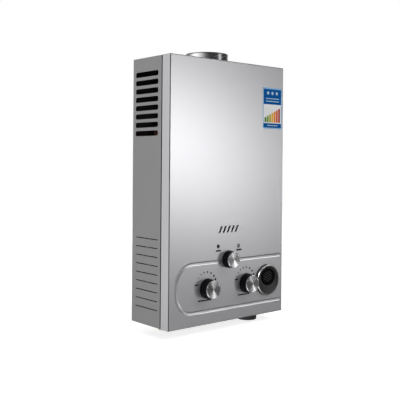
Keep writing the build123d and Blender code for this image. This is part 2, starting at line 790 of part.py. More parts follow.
def hood_form(shrink):
    """Solid of the flue hood: the heat exchanger's outline drawn in to the round neck."""
    neck_z = at(ROOF_H - FLUE_SINK - HOOD_NECK / 4)
    neck_r = FLUE_D / 2 - FLUE_SWAGE - FLUE_SHEET - FLUE_FIT - shrink
    neck_plane = Plane(origin=(0, -FLUE_DEPTH, neck_z))
    form = loft([jacket_outline(JACKET_TOP_H, shrink), neck_plane * Circle(neck_r)])
    return form + extrude(neck_plane * Circle(neck_r), HOOD_NECK)


def flue_hood():
    """Sheet hood that gathers the burnt gas from the heat exchanger into the collar."""
    return hood_form(0) - hood_form(HOOD_SHEET)


def box_wall(sheet, base_h, top_h):
    """Four upright sheet walls on the heat exchanger's outline."""
    return extrude(jacket_outline(base_h, 0) - jacket_outline(base_h, sheet), top_h - base_h)


def pass_places():
    """Y of each pass of tube through the fins, from the front to the back."""
    first = JACKET_FRONT_Y + PASS_MARGIN
    last = JACKET_BACK_Y - PASS_MARGIN
    return [first + index * (last - first) / (PASS_COUNT - 1) for index in range(PASS_COUNT)]


def pass_holes(diameter):
    """Bars through the casing's width where the tube passes run."""
    return [rod_x(diameter, -CASE_W / 2, CASE_W / 2, y, at(PASS_H)) for y in pass_places()]


def electrode_places():
    """X of the spark electrode and of the flame sensor."""
    return (-ELECTRODE_SPAN / 2, ELECTRODE_SPAN / 2)


def exchanger_jacket():
    """Copper box over the burners, drilled for the tube passes and the electrodes."""
    jacket = box_wall(JACKET_SHEET, JACKET_BASE_H, JACKET_TOP_H)
    jacket -= pass_holes(TUBE_D + 2 * TUBE_FIT)
    for x in electrode_places():
        height = at(JACKET_BASE_H + ELECTRODE_RISE)
        wall_y = (JACKET_FRONT_Y, JACKET_FRONT_Y + JACKET_SHEET)
        jacket -= rod_y(CERAMIC_D + 2 * CERAMIC_FIT, *wall_y, x, height)
    return jacket


def exchanger_fins():
    """Copper fins threaded on the tube passes."""
    inner_x = JACKET_X - JACKET_SHEET
    count = int(2 * inner_x / FIN_PITCH) - 1
    fin_y = (JACKET_FRONT_Y + JACKET_SHEET + FIN_GAP, JACKET_BACK_Y - JACKET_SHEET - FIN_GAP)
    fin_z = (at(PASS_H) - FIN_HEIGHT / 2, at(PASS_H) + FIN_HEIGHT / 2)
    fin = block((-FIN_T / 2, FIN_T / 2), fin_y, fin_z) - pass_holes(TUBE_D + 2 * TUBE_FIT)
    places = [Pos((index - (count - 1) / 2) * FIN_PITCH, 0, 0) for index in range(count)]
    return group([place * fin for place in places])


def exchanger_tube():
    """Tube that runs to and fro through the fins, from the coil's end to the hot outlet pipe."""
    points = []
    side = 1
    for y in pass_places():
        points += [(side * OUTER_PIPE_X, y, at(PASS_H)), (-side * OUTER_PIPE_X, y, at(PASS_H))]
        side = -side
    pitch = pass_places()[1] - pass_places()[0]
    points[0] = (JACKET_X, *points[0][1:])
    points[-1] = (-JACKET_X, *points[-1][1:])
    return bent_tube(points, pitch / 2, TUBE_D, TUBE_WALL)


def cold_coil():
    """Cold water pipe: from the water valve up the right side, twice round the jacket, to the fins."""
    front = JACKET_FRONT_Y - COIL_OFFSET
    back = JACKET_BACK_Y + COIL_OFFSET
    start_h = JACKET_BASE_H + COIL_START
    half = COIL_PITCH / 2
    points = [
        (WATER_X + FEED_REACH, CONNECTOR_Y, at(LOW_KNOB_H)),
        (COIL_X, CONNECTOR_Y, at(LOW_KNOB_H)),
        (COIL_X, CONNECTOR_Y, at(start_h)),
    ]
    for turn in range(2):
        level = start_h + turn * COIL_PITCH
        points += [
            (COIL_X, front, at(level)),
            (-COIL_X, front, at(level + half)),
            (-COIL_X, back, at(level + half)),
            (COIL_X, back, at(level + COIL_PITCH)),
        ]
    entry_y = pass_places()[0]
    points += [
        (OUTER_PIPE_X, entry_y, at(start_h + 2 * COIL_PITCH)),
        (OUTER_PIPE_X, entry_y, at(PASS_H)),
        (JACKET_X, entry_y, at(PASS_H)),
    ]
    return bent_tube(points, COIL_BEND_R, TUBE_D, TUBE_WALL)


def hot_pipe():
    """Hot water pipe from the last pass down the left side to the outlet under the casing."""
    y = pass_places()[-1]
    points = [
        (-JACKET_X, y, at(PASS_H)),
        (-OUTER_PIPE_X, y, at(PASS_H)),
        (-OUTER_PIPE_X, y, at(LOW_KNOB_H)),
        (HOT_X, CONNECTOR_Y, at(LOW_KNOB_H)),
        (HOT_X, CONNECTOR_Y, at(CONNECTOR_FACE_H)),
    ]
    return bent_tube(points, PIPE_BEND_R, TUBE_D, TUBE_WALL)


def jacket_hangers():
    """Four straps that carry the jacket off the back of the casing."""
    straps = []
    levels = (JACKET_BASE_H + HANGER_MARGIN, JACKET_TOP_H - HANGER_MARGIN - HANGER_H)
    for base_h in levels:
        for x in (-JACKET_X + HANGER_INSET, JACKET_X - HANGER_INSET):
            strap_x = (x - HANGER_W / 2, x + HANGER_W / 2)
            strap = block(strap_x, (JACKET_BACK_Y, -SHEET), (at(base_h), at(base_h + HANGER_H)))
            hollow_y = (JACKET_BACK_Y + HANGER_T, -SHEET - HANGER_T)
            hollow_z = (at(base_h), at(base_h + HANGER_H - HANGER_T))
            straps.append(strap - block(strap_x, hollow_y, hollow_z))
    return group(straps)


def burner_places():
    """X of each burner bar, as many as the rack holds."""
    room = 2 * (JACKET_X - RACK_SHEET) - BURNER_HEAD_W
    count = int(room / BURNER_PITCH) + 1
    return [(index - (count - 1) / 2) * BURNER_PITCH for index in range(count)]


def burner_rack():
    """Open frame under the jacket with lips that carry the burner bars and holes for the injectors."""
    rack = box_wall(RACK_SHEET, RACK_BASE_H, JACKET_BASE_H)
    inner_x = JACKET_X - RACK_SHEET
    lip_z = (at(RACK_BASE_H), at(BURNER_BASE_H))
    floor = extrude(jacket_outline(RACK_BASE_H, 0), RACK_SHEET)
    open_y = (JACKET_FRONT_Y + RACK_LIP, JACKET_BACK_Y - RACK_LIP)
    rack += floor - block((-inner_x, inner_x), open_y, lip_z)
    wall_y = (JACKET_FRONT_Y, JACKET_FRONT_Y + RACK_SHEET)
    rack -= [rod_y(INJECTOR_HOLE_D, *wall_y, x, at(MANIFOLD_H)) for x in burner_places()]
    return rack


def burner_bar():
    """One burner: mixing tube, narrow neck and slotted head, in section along its length."""
    tube, neck, head = BURNER_TUBE_W / 2, BURNER_NECK_W / 2, BURNER_HEAD_W / 2
    side = [
        (tube, 0),
        (tube, BURNER_TUBE_H),
        (neck, BURNER_NECK_H - BURNER_TUBE_W),
        (neck, BURNER_NECK_H),
        (head, BURNER_NECK_H + BURNER_NECK_W),
        (head, BURNER_HEIGHT),
    ]
    outline = Polyline(*side, *[(-x, z) for x, z in reversed(side)], close=True)
    back_y = JACKET_BACK_Y - RACK_SHEET - BURNER_CLEAR
    front_y = JACKET_FRONT_Y + RACK_SHEET + BURNER_CLEAR
    section = Plane(origin=(0, back_y, at(BURNER_BASE_H)), x_dir=(1, 0, 0), z_dir=(0, -1, 0))
    bar = extrude(section * make_face(outline), back_y - front_y)
    bar -= rod_y(BURNER_MOUTH_D, front_y, front_y + BURNER_MOUTH_L, 0, at(MANIFOLD_H))
    pitch = (back_y - front_y) / (BURNER_PORTS + 1)
    top = BURNER_BASE_H + BURNER_HEIGHT
    for index in range(BURNER_PORTS):
        y = front_y + (index + 1) * pitch
        port_y = (y - BURNER_PORT_W / 2, y + BURNER_PORT_W / 2)
        bar -= block((-head, head), port_y, (at(top - BURNER_PORT_DEPTH), at(top)))
    return bar


def burner_bars():
    """Row of identical burner bars."""
    bar = burner_bar()
    return group([Pos(x, 0, 0) * bar for x in burner_places()])


def gas_manifold():
    """Gas rail in front of the burners with a riser from the season valve."""
    reach = JACKET_X - MANIFOLD_END
    rail = rod_x(MANIFOLD_D, -reach, reach, MANIFOLD_Y, at(MANIFOLD_H))
    riser_z = (at(SEASON_KNOB_H + SEASON_D / 2 + GLAND_T), at(MANIFOLD_H))
    rail += rod_z(MANIFOLD_D, *riser_z, SEASON_X, MANIFOLD_Y)
    bore = MANIFOLD_D - 2 * MANIFOLD_WALL
    rail -= rod_x(bore, -reach + MANIFOLD_WALL, reach - MANIFOLD_WALL, MANIFOLD_Y, at(MANIFOLD_H))
    rail -= rod_z(bore, *riser_z, SEASON_X, MANIFOLD_Y)
    hole_y = (MANIFOLD_Y, MANIFOLD_Y + MANIFOLD_D)
    rail -= [rod_y(INJECTOR_STEM_D + 2 * INJECTOR_FIT, *hole_y, x, at(MANIFOLD_H)) for x in burner_places()]
    return rail


def injectors():
    """Brass gas jets screwed into the rail, one for each burner."""
    start = MANIFOLD_Y + MANIFOLD_D / 2
    stem_y = start - MANIFOLD_WALL
    jet_plane = Plane(origin=(0, start, at(MANIFOLD_H)), x_dir=(1, 0, 0), z_dir=(0, 1, 0))
    jet = jet_plane * hex_bar(INJECTOR_HEX, INJECTOR_HEX_L)
    jet += rod_y(INJECTOR_STEM_D, stem_y, start + INJECTOR_HEX_L + INJECTOR_TIP_L, 0, at(MANIFOLD_H))
    return group([Pos(x, 0, 0) * jet for x in burner_places()])


def valve_bracket():
    """Hat-section bracket on the back of the casing that carries the gas and water valves."""
    left = FLAME_X - BARREL_D / 2 - BRACKET_MARGIN
    right = WATER_X + BARREL_D / 2 + BRACKET_MARGIN
    low = at(LOW_KNOB_H - BRACKET_H / 2)
    high = at(LOW_KNOB_H + BRACKET_H / 2)
    section = folded(
        [
            (-SHEET - BRACKET_T, high + BRACKET_FLANGE),
            (-SHEET - BRACKET_T, high),
            (VALVE_BACK_Y, high),
            (VALVE_BACK_Y, low),
            (-SHEET - BRACKET_T, low),
            (-SHEET - BRACKET_T, low - BRACKET_FLANGE),
        ],
        BRACKET_T,
    )
    return extrude(Plane.YZ.offset(left) * section, right - left)


def valve_barrel(x):
    """Cast barrel with a connection boss below and a spindle bore from the front."""
    axis_z = at(LOW_KNOB_H)
    body = rod_y(BARREL_D, VALVE_FRONT_Y, VALVE_BACK_Y, x, axis_z)
    return body + rod_z(BOSS_D, at(CONNECTOR_FACE_H), axis_z, x, CONNECTOR_Y)


def valve_ways(x):
    """Bores that the two barrels share: spindle bore, connection socket and the way between them."""
    axis_z = at(LOW_KNOB_H)
    bore_end = VALVE_FRONT_Y + PLUG_L + 2 * REST_GAP
    socket_top = at(CONNECTOR_FACE_H + SOCKET_L + SOCKET_FIT)
    return [
        rod_y(PLUG_D, VALVE_FRONT_Y, bore_end, x, axis_z),
        rod_y(CROSS_PORT_D, bore_end, CONNECTOR_Y - CROSS_PORT_D / 8, x, axis_z),
        rod_z(SOCKET_D + 2 * SOCKET_FIT, at(CONNECTOR_FACE_H), socket_top, x, CONNECTOR_Y),
        rod_z(PORT_D, socket_top, axis_z + PORT_D / 2, x, CONNECTOR_Y),
    ]


def gas_valve_body():
    """Gas valve casting: barrel, seat boss to the right, solenoid boss to the left, outlet on top."""
    axis_z = at(LOW_KNOB_H)
    body = valve_barrel(FLAME_X)
    body += rod_x(BONNET_FLANGE_D, FLAME_X, SEAT_X, ROD_Y, axis_z)
    body += rod_x(BOSS_D, FLAME_X - SOLENOID_REACH, FLAME_X, ROD_Y, axis_z)
    body += rod_z(SMALL_BOSS_D, axis_z, at(LOW_KNOB_H + LINK_FACE_RISE), FLAME_X, LINK_Y)
    body -= valve_ways(FLAME_X)
    body -= rod_x(CAVITY_D, SEAT_X - CAVITY_L, SEAT_X, ROD_Y, axis_z)
    body -= rod_z(PORT_D - 2 * TUBE_WALL, axis_z, at(LOW_KNOB_H + LINK_FACE_RISE), FLAME_X, LINK_Y)
    return body


def gas_bonnet():
    """Cap on the gas valve with the chamber of the water-worked shut-off disc."""
    axis_z = at(LOW_KNOB_H)
    bonnet = rod_x(BONNET_FLANGE_D, SEAT_X, SEAT_X + BONNET_FLANGE_T, ROD_Y, axis_z)
    bonnet += rod_x(BONNET_D, SEAT_X, BONNET_END_X, ROD_Y, axis_z)
    bonnet -= rod_x(CHAMBER_D, SEAT_X, POPPET_SEAT_X, ROD_Y, axis_z)
    return bonnet - rod_x(ROD_D + 2 * ROD_FIT, SEAT_X, BONNET_END_X, ROD_Y, axis_z)


def gas_solenoid():
    """Safety solenoid on the left of the gas valve: flange, coil can and terminal block."""
    axis_z = at(LOW_KNOB_H)
    face = FLAME_X - SOLENOID_REACH
    end = face - SOLENOID_FLANGE_T - SOLENOID_L
    valve = rod_x(BOSS_D, face - SOLENOID_FLANGE_T, face, ROD_Y, axis_z)
    can = rod_x(SOLENOID_D, end, face - SOLENOID_FLANGE_T, ROD_Y, axis_z)
    can = fillet(can.edges().filter_by(GeomType.CIRCLE).sort_by(Axis.X)[0], SOLENOID_D / 12)
    return valve + can


def link_pipe():
    """Gas pipe from the top of the gas valve to the left of the season valve."""
    points = [
        (FLAME_X, LINK_Y, at(LOW_KNOB_H + LINK_FACE_RISE)),
        (FLAME_X, LINK_Y, at(SEASON_KNOB_H)),
        (SEASON_X - LINK_REACH, LINK_Y, at(SEASON_KNOB_H)),
    ]
    return bent_tube(points, LINK_BEND_R, TUBE_D, TUBE_WALL)


def season_valve_body():
    """Season valve casting: barrel with the gas inlet on its left and the rail outlet on top."""
    axis_z = at(SEASON_KNOB_H)
    body = rod_y(SEASON_D, SEASON_FRONT_Y, SEASON_BACK_Y, SEASON_X, axis_z)
    body += rod_x(SMALL_BOSS_D, SEASON_X - LINK_REACH, SEASON_X, LINK_Y, axis_z)
    top_z = at(SEASON_KNOB_H + SEASON_D / 2 + GLAND_T)
    body += rod_z(SMALL_BOSS_D, axis_z, top_z, SEASON_X, MANIFOLD_Y)
    body -= rod_y(PLUG_D, SEASON_FRONT_Y, SEASON_FRONT_Y + PLUG_L + 2 * REST_GAP, SEASON_X, axis_z)
    body -= rod_x(PORT_D - 2 * TUBE_WALL, SEASON_X - LINK_REACH, SEASON_X, LINK_Y, axis_z)
    return body - rod_z(MANIFOLD_D - 2 * MANIFOLD_WALL, axis_z, top_z, SEASON_X, MANIFOLD_Y)


def water_valve_body():
    """Water valve casting: barrel, diaphragm flange to the left, feed to the right, drain below."""
    axis_z = at(LOW_KNOB_H)
    body = valve_barrel(WATER_X)
    body += rod_x(BOSS_D, DIAPHRAGM_X, WATER_X, ROD_Y, axis_z)
    body += rod_x(DIAPHRAGM_D, DIAPHRAGM_X, DIAPHRAGM_X + DIAPHRAGM_FLANGE_T, ROD_Y, axis_z)
    body += rod_x(SMALL_BOSS_D, WATER_X, WATER_X + FEED_REACH, CONNECTOR_Y, axis_z)
    body += rod_z(DRAIN_BOSS_D, at(DRAIN_FACE_H), axis_z, WATER_X, -DRAIN_DEPTH)
    recess_d = DIAPHRAGM_D - 2 * DIAPHRAGM_RIM
    body -= rod_x(recess_d, DIAPHRAGM_X, DIAPHRAGM_X + DIAPHRAGM_RECESS, ROD_Y, axis_z)
    body -= valve_ways(WATER_X)
    body -= rod_x(TUBE_D - 2 * TUBE_WALL, WATER_X, WATER_X + FEED_REACH, CONNECTOR_Y, axis_z)
    drain_z = (at(DRAIN_FACE_H), at(DRAIN_FACE_H + DRAIN_STEM_L + REST_GAP))
    return body - rod_z(DRAIN_STEM_D + 2 * DRAIN_FIT, *drain_z, WATER_X, -DRAIN_DEPTH)


def diaphragm():
    """Rubber disc clamped between the water valve and its cover."""
    return rod_x(DIAPHRAGM_D, CUP_X, DIAPHRAGM_X, ROD_Y, at(LOW_KNOB_H))


def diaphragm_cover():
    """Cup over the diaphragm with a guide for the push rod."""
    axis_z = at(LOW_KNOB_H)
    cover = rod_x(DIAPHRAGM_D, CUP_END_X, CUP_X, ROD_Y, axis_z)
    cover = fillet(cover.edges().filter_by(GeomType.CIRCLE).sort_by(Axis.X)[0], COVER_CUP_WALL)
    cover += rod_x(COVER_BOSS_D, CUP_END_X - COVER_BOSS_L, CUP_END_X, ROD_Y, axis_z)
    recess_d = DIAPHRAGM_D - 2 * DIAPHRAGM_RIM
    cover -= rod_x(recess_d, CUP_END_X + COVER_CUP_WALL, CUP_X, ROD_Y, axis_z)
    return cover - rod_x(ROD_D + 2 * ROD_FIT, CUP_END_X - COVER_BOSS_L, CUP_X, ROD_Y, axis_z)


def push_rod():
    """Rod from the diaphragm to the gas disc, with its pressure plate and the switch collar."""
    axis_z = at(LOW_KNOB_H)
    plate_x = CUP_X - REST_GAP
    rod = rod_x(ROD_D, POPPET_SEAT_X - REST_GAP, plate_x, ROD_Y, axis_z)
    rod += rod_x(PLATE_D, plate_x - PLATE_T, plate_x, ROD_Y, axis_z)
    return rod + rod_x(COLLAR_D, COLLAR_X, COLLAR_X + COLLAR_T, ROD_Y, axis_z)


def gas_disc():
    """Shut-off disc on the end of the push rod."""
    face = POPPET_SEAT_X - REST_GAP
    return rod_x(POPPET_D, face - POPPET_T, face, ROD_Y, at(LOW_KNOB_H))


def lever_pivot():
    """X and Z of the switch lever's pivot, above the push rod's collar."""
    return COLLAR_X - REST_GAP - LEVER_T / 2, at(LOW_KNOB_H + SWITCH_RISE)


def micro_switch():
    """Flow switch on a stand over the gas bonnet, with the pivot pin of its lever."""
    pivot_x, pivot_z = lever_pivot()
    base_z = pivot_z + LEVER_EYE_D / 2 + LEVER_CLEAR
    half_t = SWITCH_T / 2
    switch = block(
        (pivot_x - SWITCH_W / 2, pivot_x + SWITCH_W / 2),
        (ROD_Y - half_t, ROD_Y + half_t),
        (base_z, base_z + SWITCH_H),
    )
    cheek_x = (pivot_x - LEVER_EYE_D / 2, pivot_x + LEVER_EYE_D / 2)
    cheek_z = (pivot_z - LEVER_EYE_D / 2, base_z)
    for side in (-1, 1):
        cheek_y = sorted((ROD_Y + side * half_t, ROD_Y + side * (LEVER_W / 2 + REST_GAP)))
        switch += block(cheek_x, cheek_y, cheek_z)
    switch += rod_y(LEVER_PIVOT_D, ROD_Y - half_t, ROD_Y + half_t, pivot_x, pivot_z)
    return switch


def switch_stand():
    """Bent strip from the bonnet's flange that carries the flow switch."""
    pivot_x, pivot_z = lever_pivot()
    base_z = pivot_z + LEVER_EYE_D / 2 + LEVER_CLEAR
    back_y = ROD_Y + SWITCH_T / 2
    stand = block(
        (BONNET_END_X, BONNET_END_X + SWITCH_STAND_T),
        (ROD_Y - SWITCH_T / 2, back_y + SWITCH_STAND_T),
        (at(LOW_KNOB_H) + ROD_D, base_z + SWITCH_H),
    )
    return stand + block(
        (BONNET_END_X, pivot_x + SWITCH_W / 2),
        (back_y, back_y + SWITCH_STAND_T),
        (base_z, base_z + SWITCH_H),
    )


def switch_lever():
    """Lever that hangs from the switch in front of the push rod's collar."""
    pivot_x, pivot_z = lever_pivot()
    y = (ROD_Y - LEVER_W / 2, ROD_Y + LEVER_W / 2)
    tip_z = at(LOW_KNOB_H) + ROD_D / 2 + LEVER_CLEAR
    lever = rod_y(LEVER_EYE_D, *y, pivot_x, pivot_z)
    lever += block((pivot_x - LEVER_T / 2, pivot_x + LEVER_T / 2), y, (tip_z, pivot_z))
    return lever - rod_y(LEVER_PIVOT_D + 2 * ROD_FIT, *y, pivot_x, pivot_z)


def connector(x, top):
    """Threaded pipe connection with a hexagon under the bottom plate and a neck through it."""
    hex_base = UNDERSIDE_H - CONNECTOR_HEX_T
    thread = rod_z(THREAD_D, at(-CONNECTOR_DROP), at(hex_base), x, CONNECTOR_Y)
    thread = chamfer(thread.edges().sort_by(Axis.Z)[0], THREAD_CHAMFER)
    body = thread + Pos(x, CONNECTOR_Y, at(hex_base)) * hex_bar(CONNECTOR_HEX, CONNECTOR_HEX_T)
    body += rod_z(CONNECTOR_NECK_D, at(UNDERSIDE_H), at(CONNECTOR_FACE_H), x, CONNECTOR_Y)
    if top > CONNECTOR_FACE_H:
        body += rod_z(SOCKET_D, at(CONNECTOR_FACE_H), at(top), x, CONNECTOR_Y)
    bore = min(CONNECTOR_BORE_D, SOCKET_D - 2 * TUBE_WALL)
    return body - rod_z(bore, at(-CONNECTOR_DROP), at(top), x, CONNECTOR_Y)


def cold_inlet():
    """Cold water connection screwed into the water valve."""
    return connector(WATER_X, CONNECTOR_FACE_H + SOCKET_L)


def gas_inlet():
    """Gas connection screwed into the gas valve."""
    return connector(FLAME_X, CONNECTOR_FACE_H + SOCKET_L)


def hot_outlet():
    """Hot water connection under the hot pipe."""
    return connector(HOT_X, CONNECTOR_FACE_H)


def lock_nuts():
    """Nuts on top of the bottom plate that hold the three connections."""
    nuts = []
    for x in (HOT_X, FLAME_X, WATER_X):
        nut = Pos(x, CONNECTOR_Y, at(DECK_H)) * hex_bar(LOCKNUT_HEX, LOCKNUT_T)
        hole_z = (at(DECK_H), at(DECK_H + LOCKNUT_T))
        nuts.append(nut - rod_z(CONNECTOR_NECK_D + 2 * NUT_FIT, *hole_z, x, CONNECTOR_Y))
    return group(nuts)


def pipe_nuts():
    """Union nuts where the pipes meet the valves and the hot outlet."""
    axis_h = LOW_KNOB_H
    rising = Plane(origin=(FLAME_X, LINK_Y, at(axis_h + LINK_FACE_RISE)))
    leaving = Plane(
        origin=(SEASON_X - LINK_REACH, LINK_Y, at(SEASON_KNOB_H)), x_dir=(0, 1, 0), z_dir=(-1, 0, 0)
    )
    feed_end = (WATER_X + FEED_REACH, CONNECTOR_Y, at(axis_h))
    feeding = Plane(origin=feed_end, x_dir=(0, 1, 0), z_dir=(1, 0, 0))
    heated = Plane(origin=(HOT_X, CONNECTOR_Y, at(CONNECTOR_FACE_H)))
    nut = hex_bar(PIPE_NUT_HEX, PIPE_NUT_T) - extrude(Circle(TUBE_D / 2 + TUBE_FIT), PIPE_NUT_T)
    return group([plane * nut for plane in (rising, leaving, feeding, heated)])


def drain_plug():
    """Drain screw under the water valve with a fluted finger knob below the casing."""
    knob_z = (at(-DRAIN_KNOB_BASE), at(DRAIN_KNOB_T - DRAIN_KNOB_BASE))
    plug = rod_z(DRAIN_KNOB_D, *knob_z, WATER_X, -DRAIN_DEPTH)
    flute = rod_z(DRAIN_KNOB_D / DRAIN_FLUTES, *knob_z, 0, 0)
    around = Pos(WATER_X, -DRAIN_DEPTH, 0)
    plug -= [around * place * flute for place in PolarLocations(DRAIN_KNOB_D / 2, DRAIN_FLUTES)]
    return plug + rod_z(DRAIN_STEM_D, knob_z[1], at(DRAIN_FACE_H + DRAIN_STEM_L), WATER_X, -DRAIN_DEPTH)


def battery_holder():
    """Upright tube for two cells, closed at the top, with a flange on the bottom plate."""
    holder = rod_z(HOLDER_OD, at(UNDERSIDE_H), at(HOLDER_TOP_H), BATTERY_X, -BATTERY_DEPTH)
    flange_z = (at(DECK_H), at(DECK_H + HOLDER_FLANGE_T))
    holder += rod_z(HOLDER_OD + 2 * HOLDER_FLANGE, *flange_z, BATTERY_X, -BATTERY_DEPTH)
    hollow_z = (at(UNDERSIDE_H), at(HOLDER_TOP_H - HOLDER_WALL))
    return holder - rod_z(HOLDER_ID, *hollow_z, BATTERY_X, -BATTERY_DEPTH)


def battery_cells():
    """Two round cells, one on the other."""
    cells = []
    for index in range(2):
        base = LID_SPIGOT_L + REST_GAP + index * (CELL_L + CELL_NUB_L)
        cell = rod_z(CELL_D, at(base), at(base + CELL_L), BATTERY_X, -BATTERY_DEPTH)
        nub_z = (at(base + CELL_L), at(base + CELL_L + CELL_NUB_L))
        cells.append(cell + rod_z(CELL_NUB_D, *nub_z, BATTERY_X, -BATTERY_DEPTH))
    return group(cells)


def battery_cap():
    """Twist cap under the casing: a fluted drum with a finger bar between two hollows."""
    top = UNDERSIDE_H - LID_GAP
    cap = extrude(Circle(LID_D / 2), LID_REACH + top)
    cap = fillet(cap.edges().sort_by(Axis.Z)[0], LID_EDGE_R)
    flute = Pos(0, 0, LID_REACH / 2) * Cylinder(LID_FLUTE_R, 2 * LID_REACH)
    cap -= [place * flute for place in PolarLocations(LID_D / 2 + LID_FLUTE_R / 3, LID_FLUTES)]
    bowl = Circle(LID_D / 2 - 2 * HOLDER_WALL) - Rectangle(LID_GRIP_W, LID_D)
    cap -= extrude(bowl, LID_GRIP_DEPTH)
    spigot_d = HOLDER_ID - 2 * LID_SPIGOT_FIT
    cap += Pos(0, 0, LID_REACH + top) * extrude(Circle(spigot_d / 2), LID_SPIGOT_L - top)
    return Pos(BATTERY_X, -BATTERY_DEPTH, at(-LID_REACH)) * cap


def electrodes():
    """Ceramic spark electrode and flame sensor through the front of the jacket."""
    height = at(JACKET_BASE_H + ELECTRODE_RISE)
    pieces = []
    for x in electrode_places():
        rod = rod_y(CERAMIC_D, JACKET_FRONT_Y - CERAMIC_OUT, JACKET_FRONT_Y + CERAMIC_IN, x, height)
        rod += rod_y(CERAMIC_FLANGE_D, JACKET_FRONT_Y - CERAMIC_FLANGE_T, JACKET_FRONT_Y, x, height)
        tip = JACKET_FRONT_Y + CERAMIC_IN
        rod += rod_y(ELECTRODE_WIRE_D, tip, tip + ELECTRODE_WIRE_L, x, height)
        pieces.append(rod)
    return group(pieces)


def igniter_module():
    """Spark and control box on the inside of the left panel."""
    wall_x = -SIDE_X + SHEET
    y = (-IGNITER_DEPTH - IGNITER_D, -IGNITER_DEPTH)
    body = block((wall_x, wall_x + IGNITER_W), y, (at(IGNITER_BASE_H), at(IGNITER_BASE_H + IGNITER_H)))
    return fillet(body.edges().filter_by(Axis.X), IGNITER_R)


def electrode_leads():
    """Leads from the control box to the two electrodes, along the inside of the front."""
    start_x = -SIDE_X + SHEET + LEAD_SIDE
    start_y = -IGNITER_DEPTH - IGNITER_D
    level = JACKET_BASE_H + ELECTRODE_RISE
    leads = []
    for index, x in enumerate(electrode_places()):
        run_y = JACKET_FRONT_Y - CERAMIC_OUT - LEAD_FRONT_GAP - LEAD_D / 2
        start_h = IGNITER_BASE_H + LEAD_BEND_R * 2 + index * 2 * LEAD_PITCH
        run_h = level + index * 2 * LEAD_PITCH
        points = [
            (start_x, start_y, at(start_h)),
            (start_x, run_y, at(start_h)),
            (start_x, run_y, at(run_h)),
            (x, run_y, at(run_h)),
        ]
        if run_h > level:
            points.append((x, run_y, at(level)))
        leads.append(bent_lead(points))
    return group(leads)


def bent_lead(points):
    """Solid round lead along straight runs with round bends."""
    path = bent_line(points, LEAD_BEND_R)
    return sweep(Plane(origin=path @ 0, z_dir=path % 0) * Circle(LEAD_D / 2), path=path)


def overheat_sensor():
    """Bimetal cut-out on the front of the jacket."""
    height = at(JACKET_TOP_H - SENSOR_DROP)
    sensor = rod_y(SENSOR_D, JACKET_FRONT_Y - SENSOR_T, JACKET_FRONT_Y, SENSOR_X, height)
    return fillet(sensor.edges().filter_by(GeomType.CIRCLE).sort_by(Axis.Y)[0], SENSOR_T / 6)


def outlet_sensor():
    """Temperature sensor block clipped round the hot pipe."""
    y = pass_places()[-1]
    z = (at(CLIP_H), at(CLIP_H + CLIP_L))
    clip = rod_z(CLIP_D, *z, -OUTER_PIPE_X, y)
    return clip - rod_z(TUBE_D + 2 * TUBE_FIT, *z, -OUTER_PIPE_X, y)


def all_nodes():
    """Every piece of the heater, by the name of its node."""
    nodes = {
        "rear_shell": rear_shell(),
        "top_plate": top_plate(),
        "bottom_plate": bottom_plate(),
        "front_cover": front_cover(),
        "cover_screws": cover_screws(),
        "flue_collar": flue_collar(),
        "flue_hood": flue_hood(),
        "exchanger_jacket": exchanger_jacket(),
        "exchanger_fins": exchanger_fins(),
        "exchanger_tube": exchanger_tube(),
        "cold_coil": cold_coil(),
        "hot_pipe": hot_pipe(),
        "jacket_hangers": jacket_hangers(),
        "burner_rack": burner_rack(),
        "burner_bars": burner_bars(),
        "gas_manifold": gas_manifold(),
        "injectors": injectors(),
        "valve_bracket": valve_bracket(),
        "gas_valve_body": gas_valve_body(),
        "gas_bonnet": gas_bonnet(),
        "gas_solenoid": gas_solenoid(),
        "link_pipe": link_pipe(),
        "season_valve_body": season_valve_body(),
        "water_valve_body": water_valve_body(),
        "diaphragm": diaphragm(),
        "diaphragm_cover": diaphragm_cover(),
        "push_rod": push_rod(),
        "gas_disc": gas_disc(),
        "micro_switch": micro_switch(),
        "switch_stand": switch_stand(),
        "switch_lever": switch_lever(),
        "cold_inlet": cold_inlet(),
        "gas_inlet": gas_inlet(),
        "hot_outlet": hot_outlet(),
        "lock_nuts": lock_nuts(),
        "pipe_nuts": pipe_nuts(),
        "drain_plug": drain_plug(),
        "battery_holder": battery_holder(),
        "battery_cells": battery_cells(),
        "battery_cap": battery_cap(),
        "spindle_glands": spindle_glands(),
        "display_bezel": display_bezel(),
        "display_lens": display_lens(),
        "display_board": display_board(),
        "display_housing": display_housing(),
        "electrodes": electrodes(),
        "igniter_module": igniter_module(),
        "electrode_leads": electrode_leads(),
        "overheat_sensor": overheat_sensor(),
        "outlet_sensor": outlet_sensor(),
    }
    knobs = {
        "flame": (1, FLAME_POINTER),
        "water": (1, WATER_POINTER),
        "season": (SEASON_SHARE, SEASON_POINTER),
    }
    for name, place in control_places().items():
        nodes.update(control(name, *place, *knobs[name]))
    return nodes


os.makedirs("parts", exist_ok=True)
for node_name, shape in all_nodes().items():
    export_step(shape, f"parts/{node_name}.step")
    print(node_name, len(shape.solids()), "solid(s)")
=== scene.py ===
# %% [markdown]
# # A wall-hung gas water heater
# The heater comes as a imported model: each sheet, pipe, valve and knob is a solid of its own, in
# metres, where it belongs. This lesson keeps those solids, gives each a finish, and adds the thin
# things a solid model leaves out: the print at the knobs, a sticker, the screw threads and the
# rolled lip of the flue.

import json
import math

import bmesh
import bpy
import numpy as np
from mathutils import Matrix, Vector


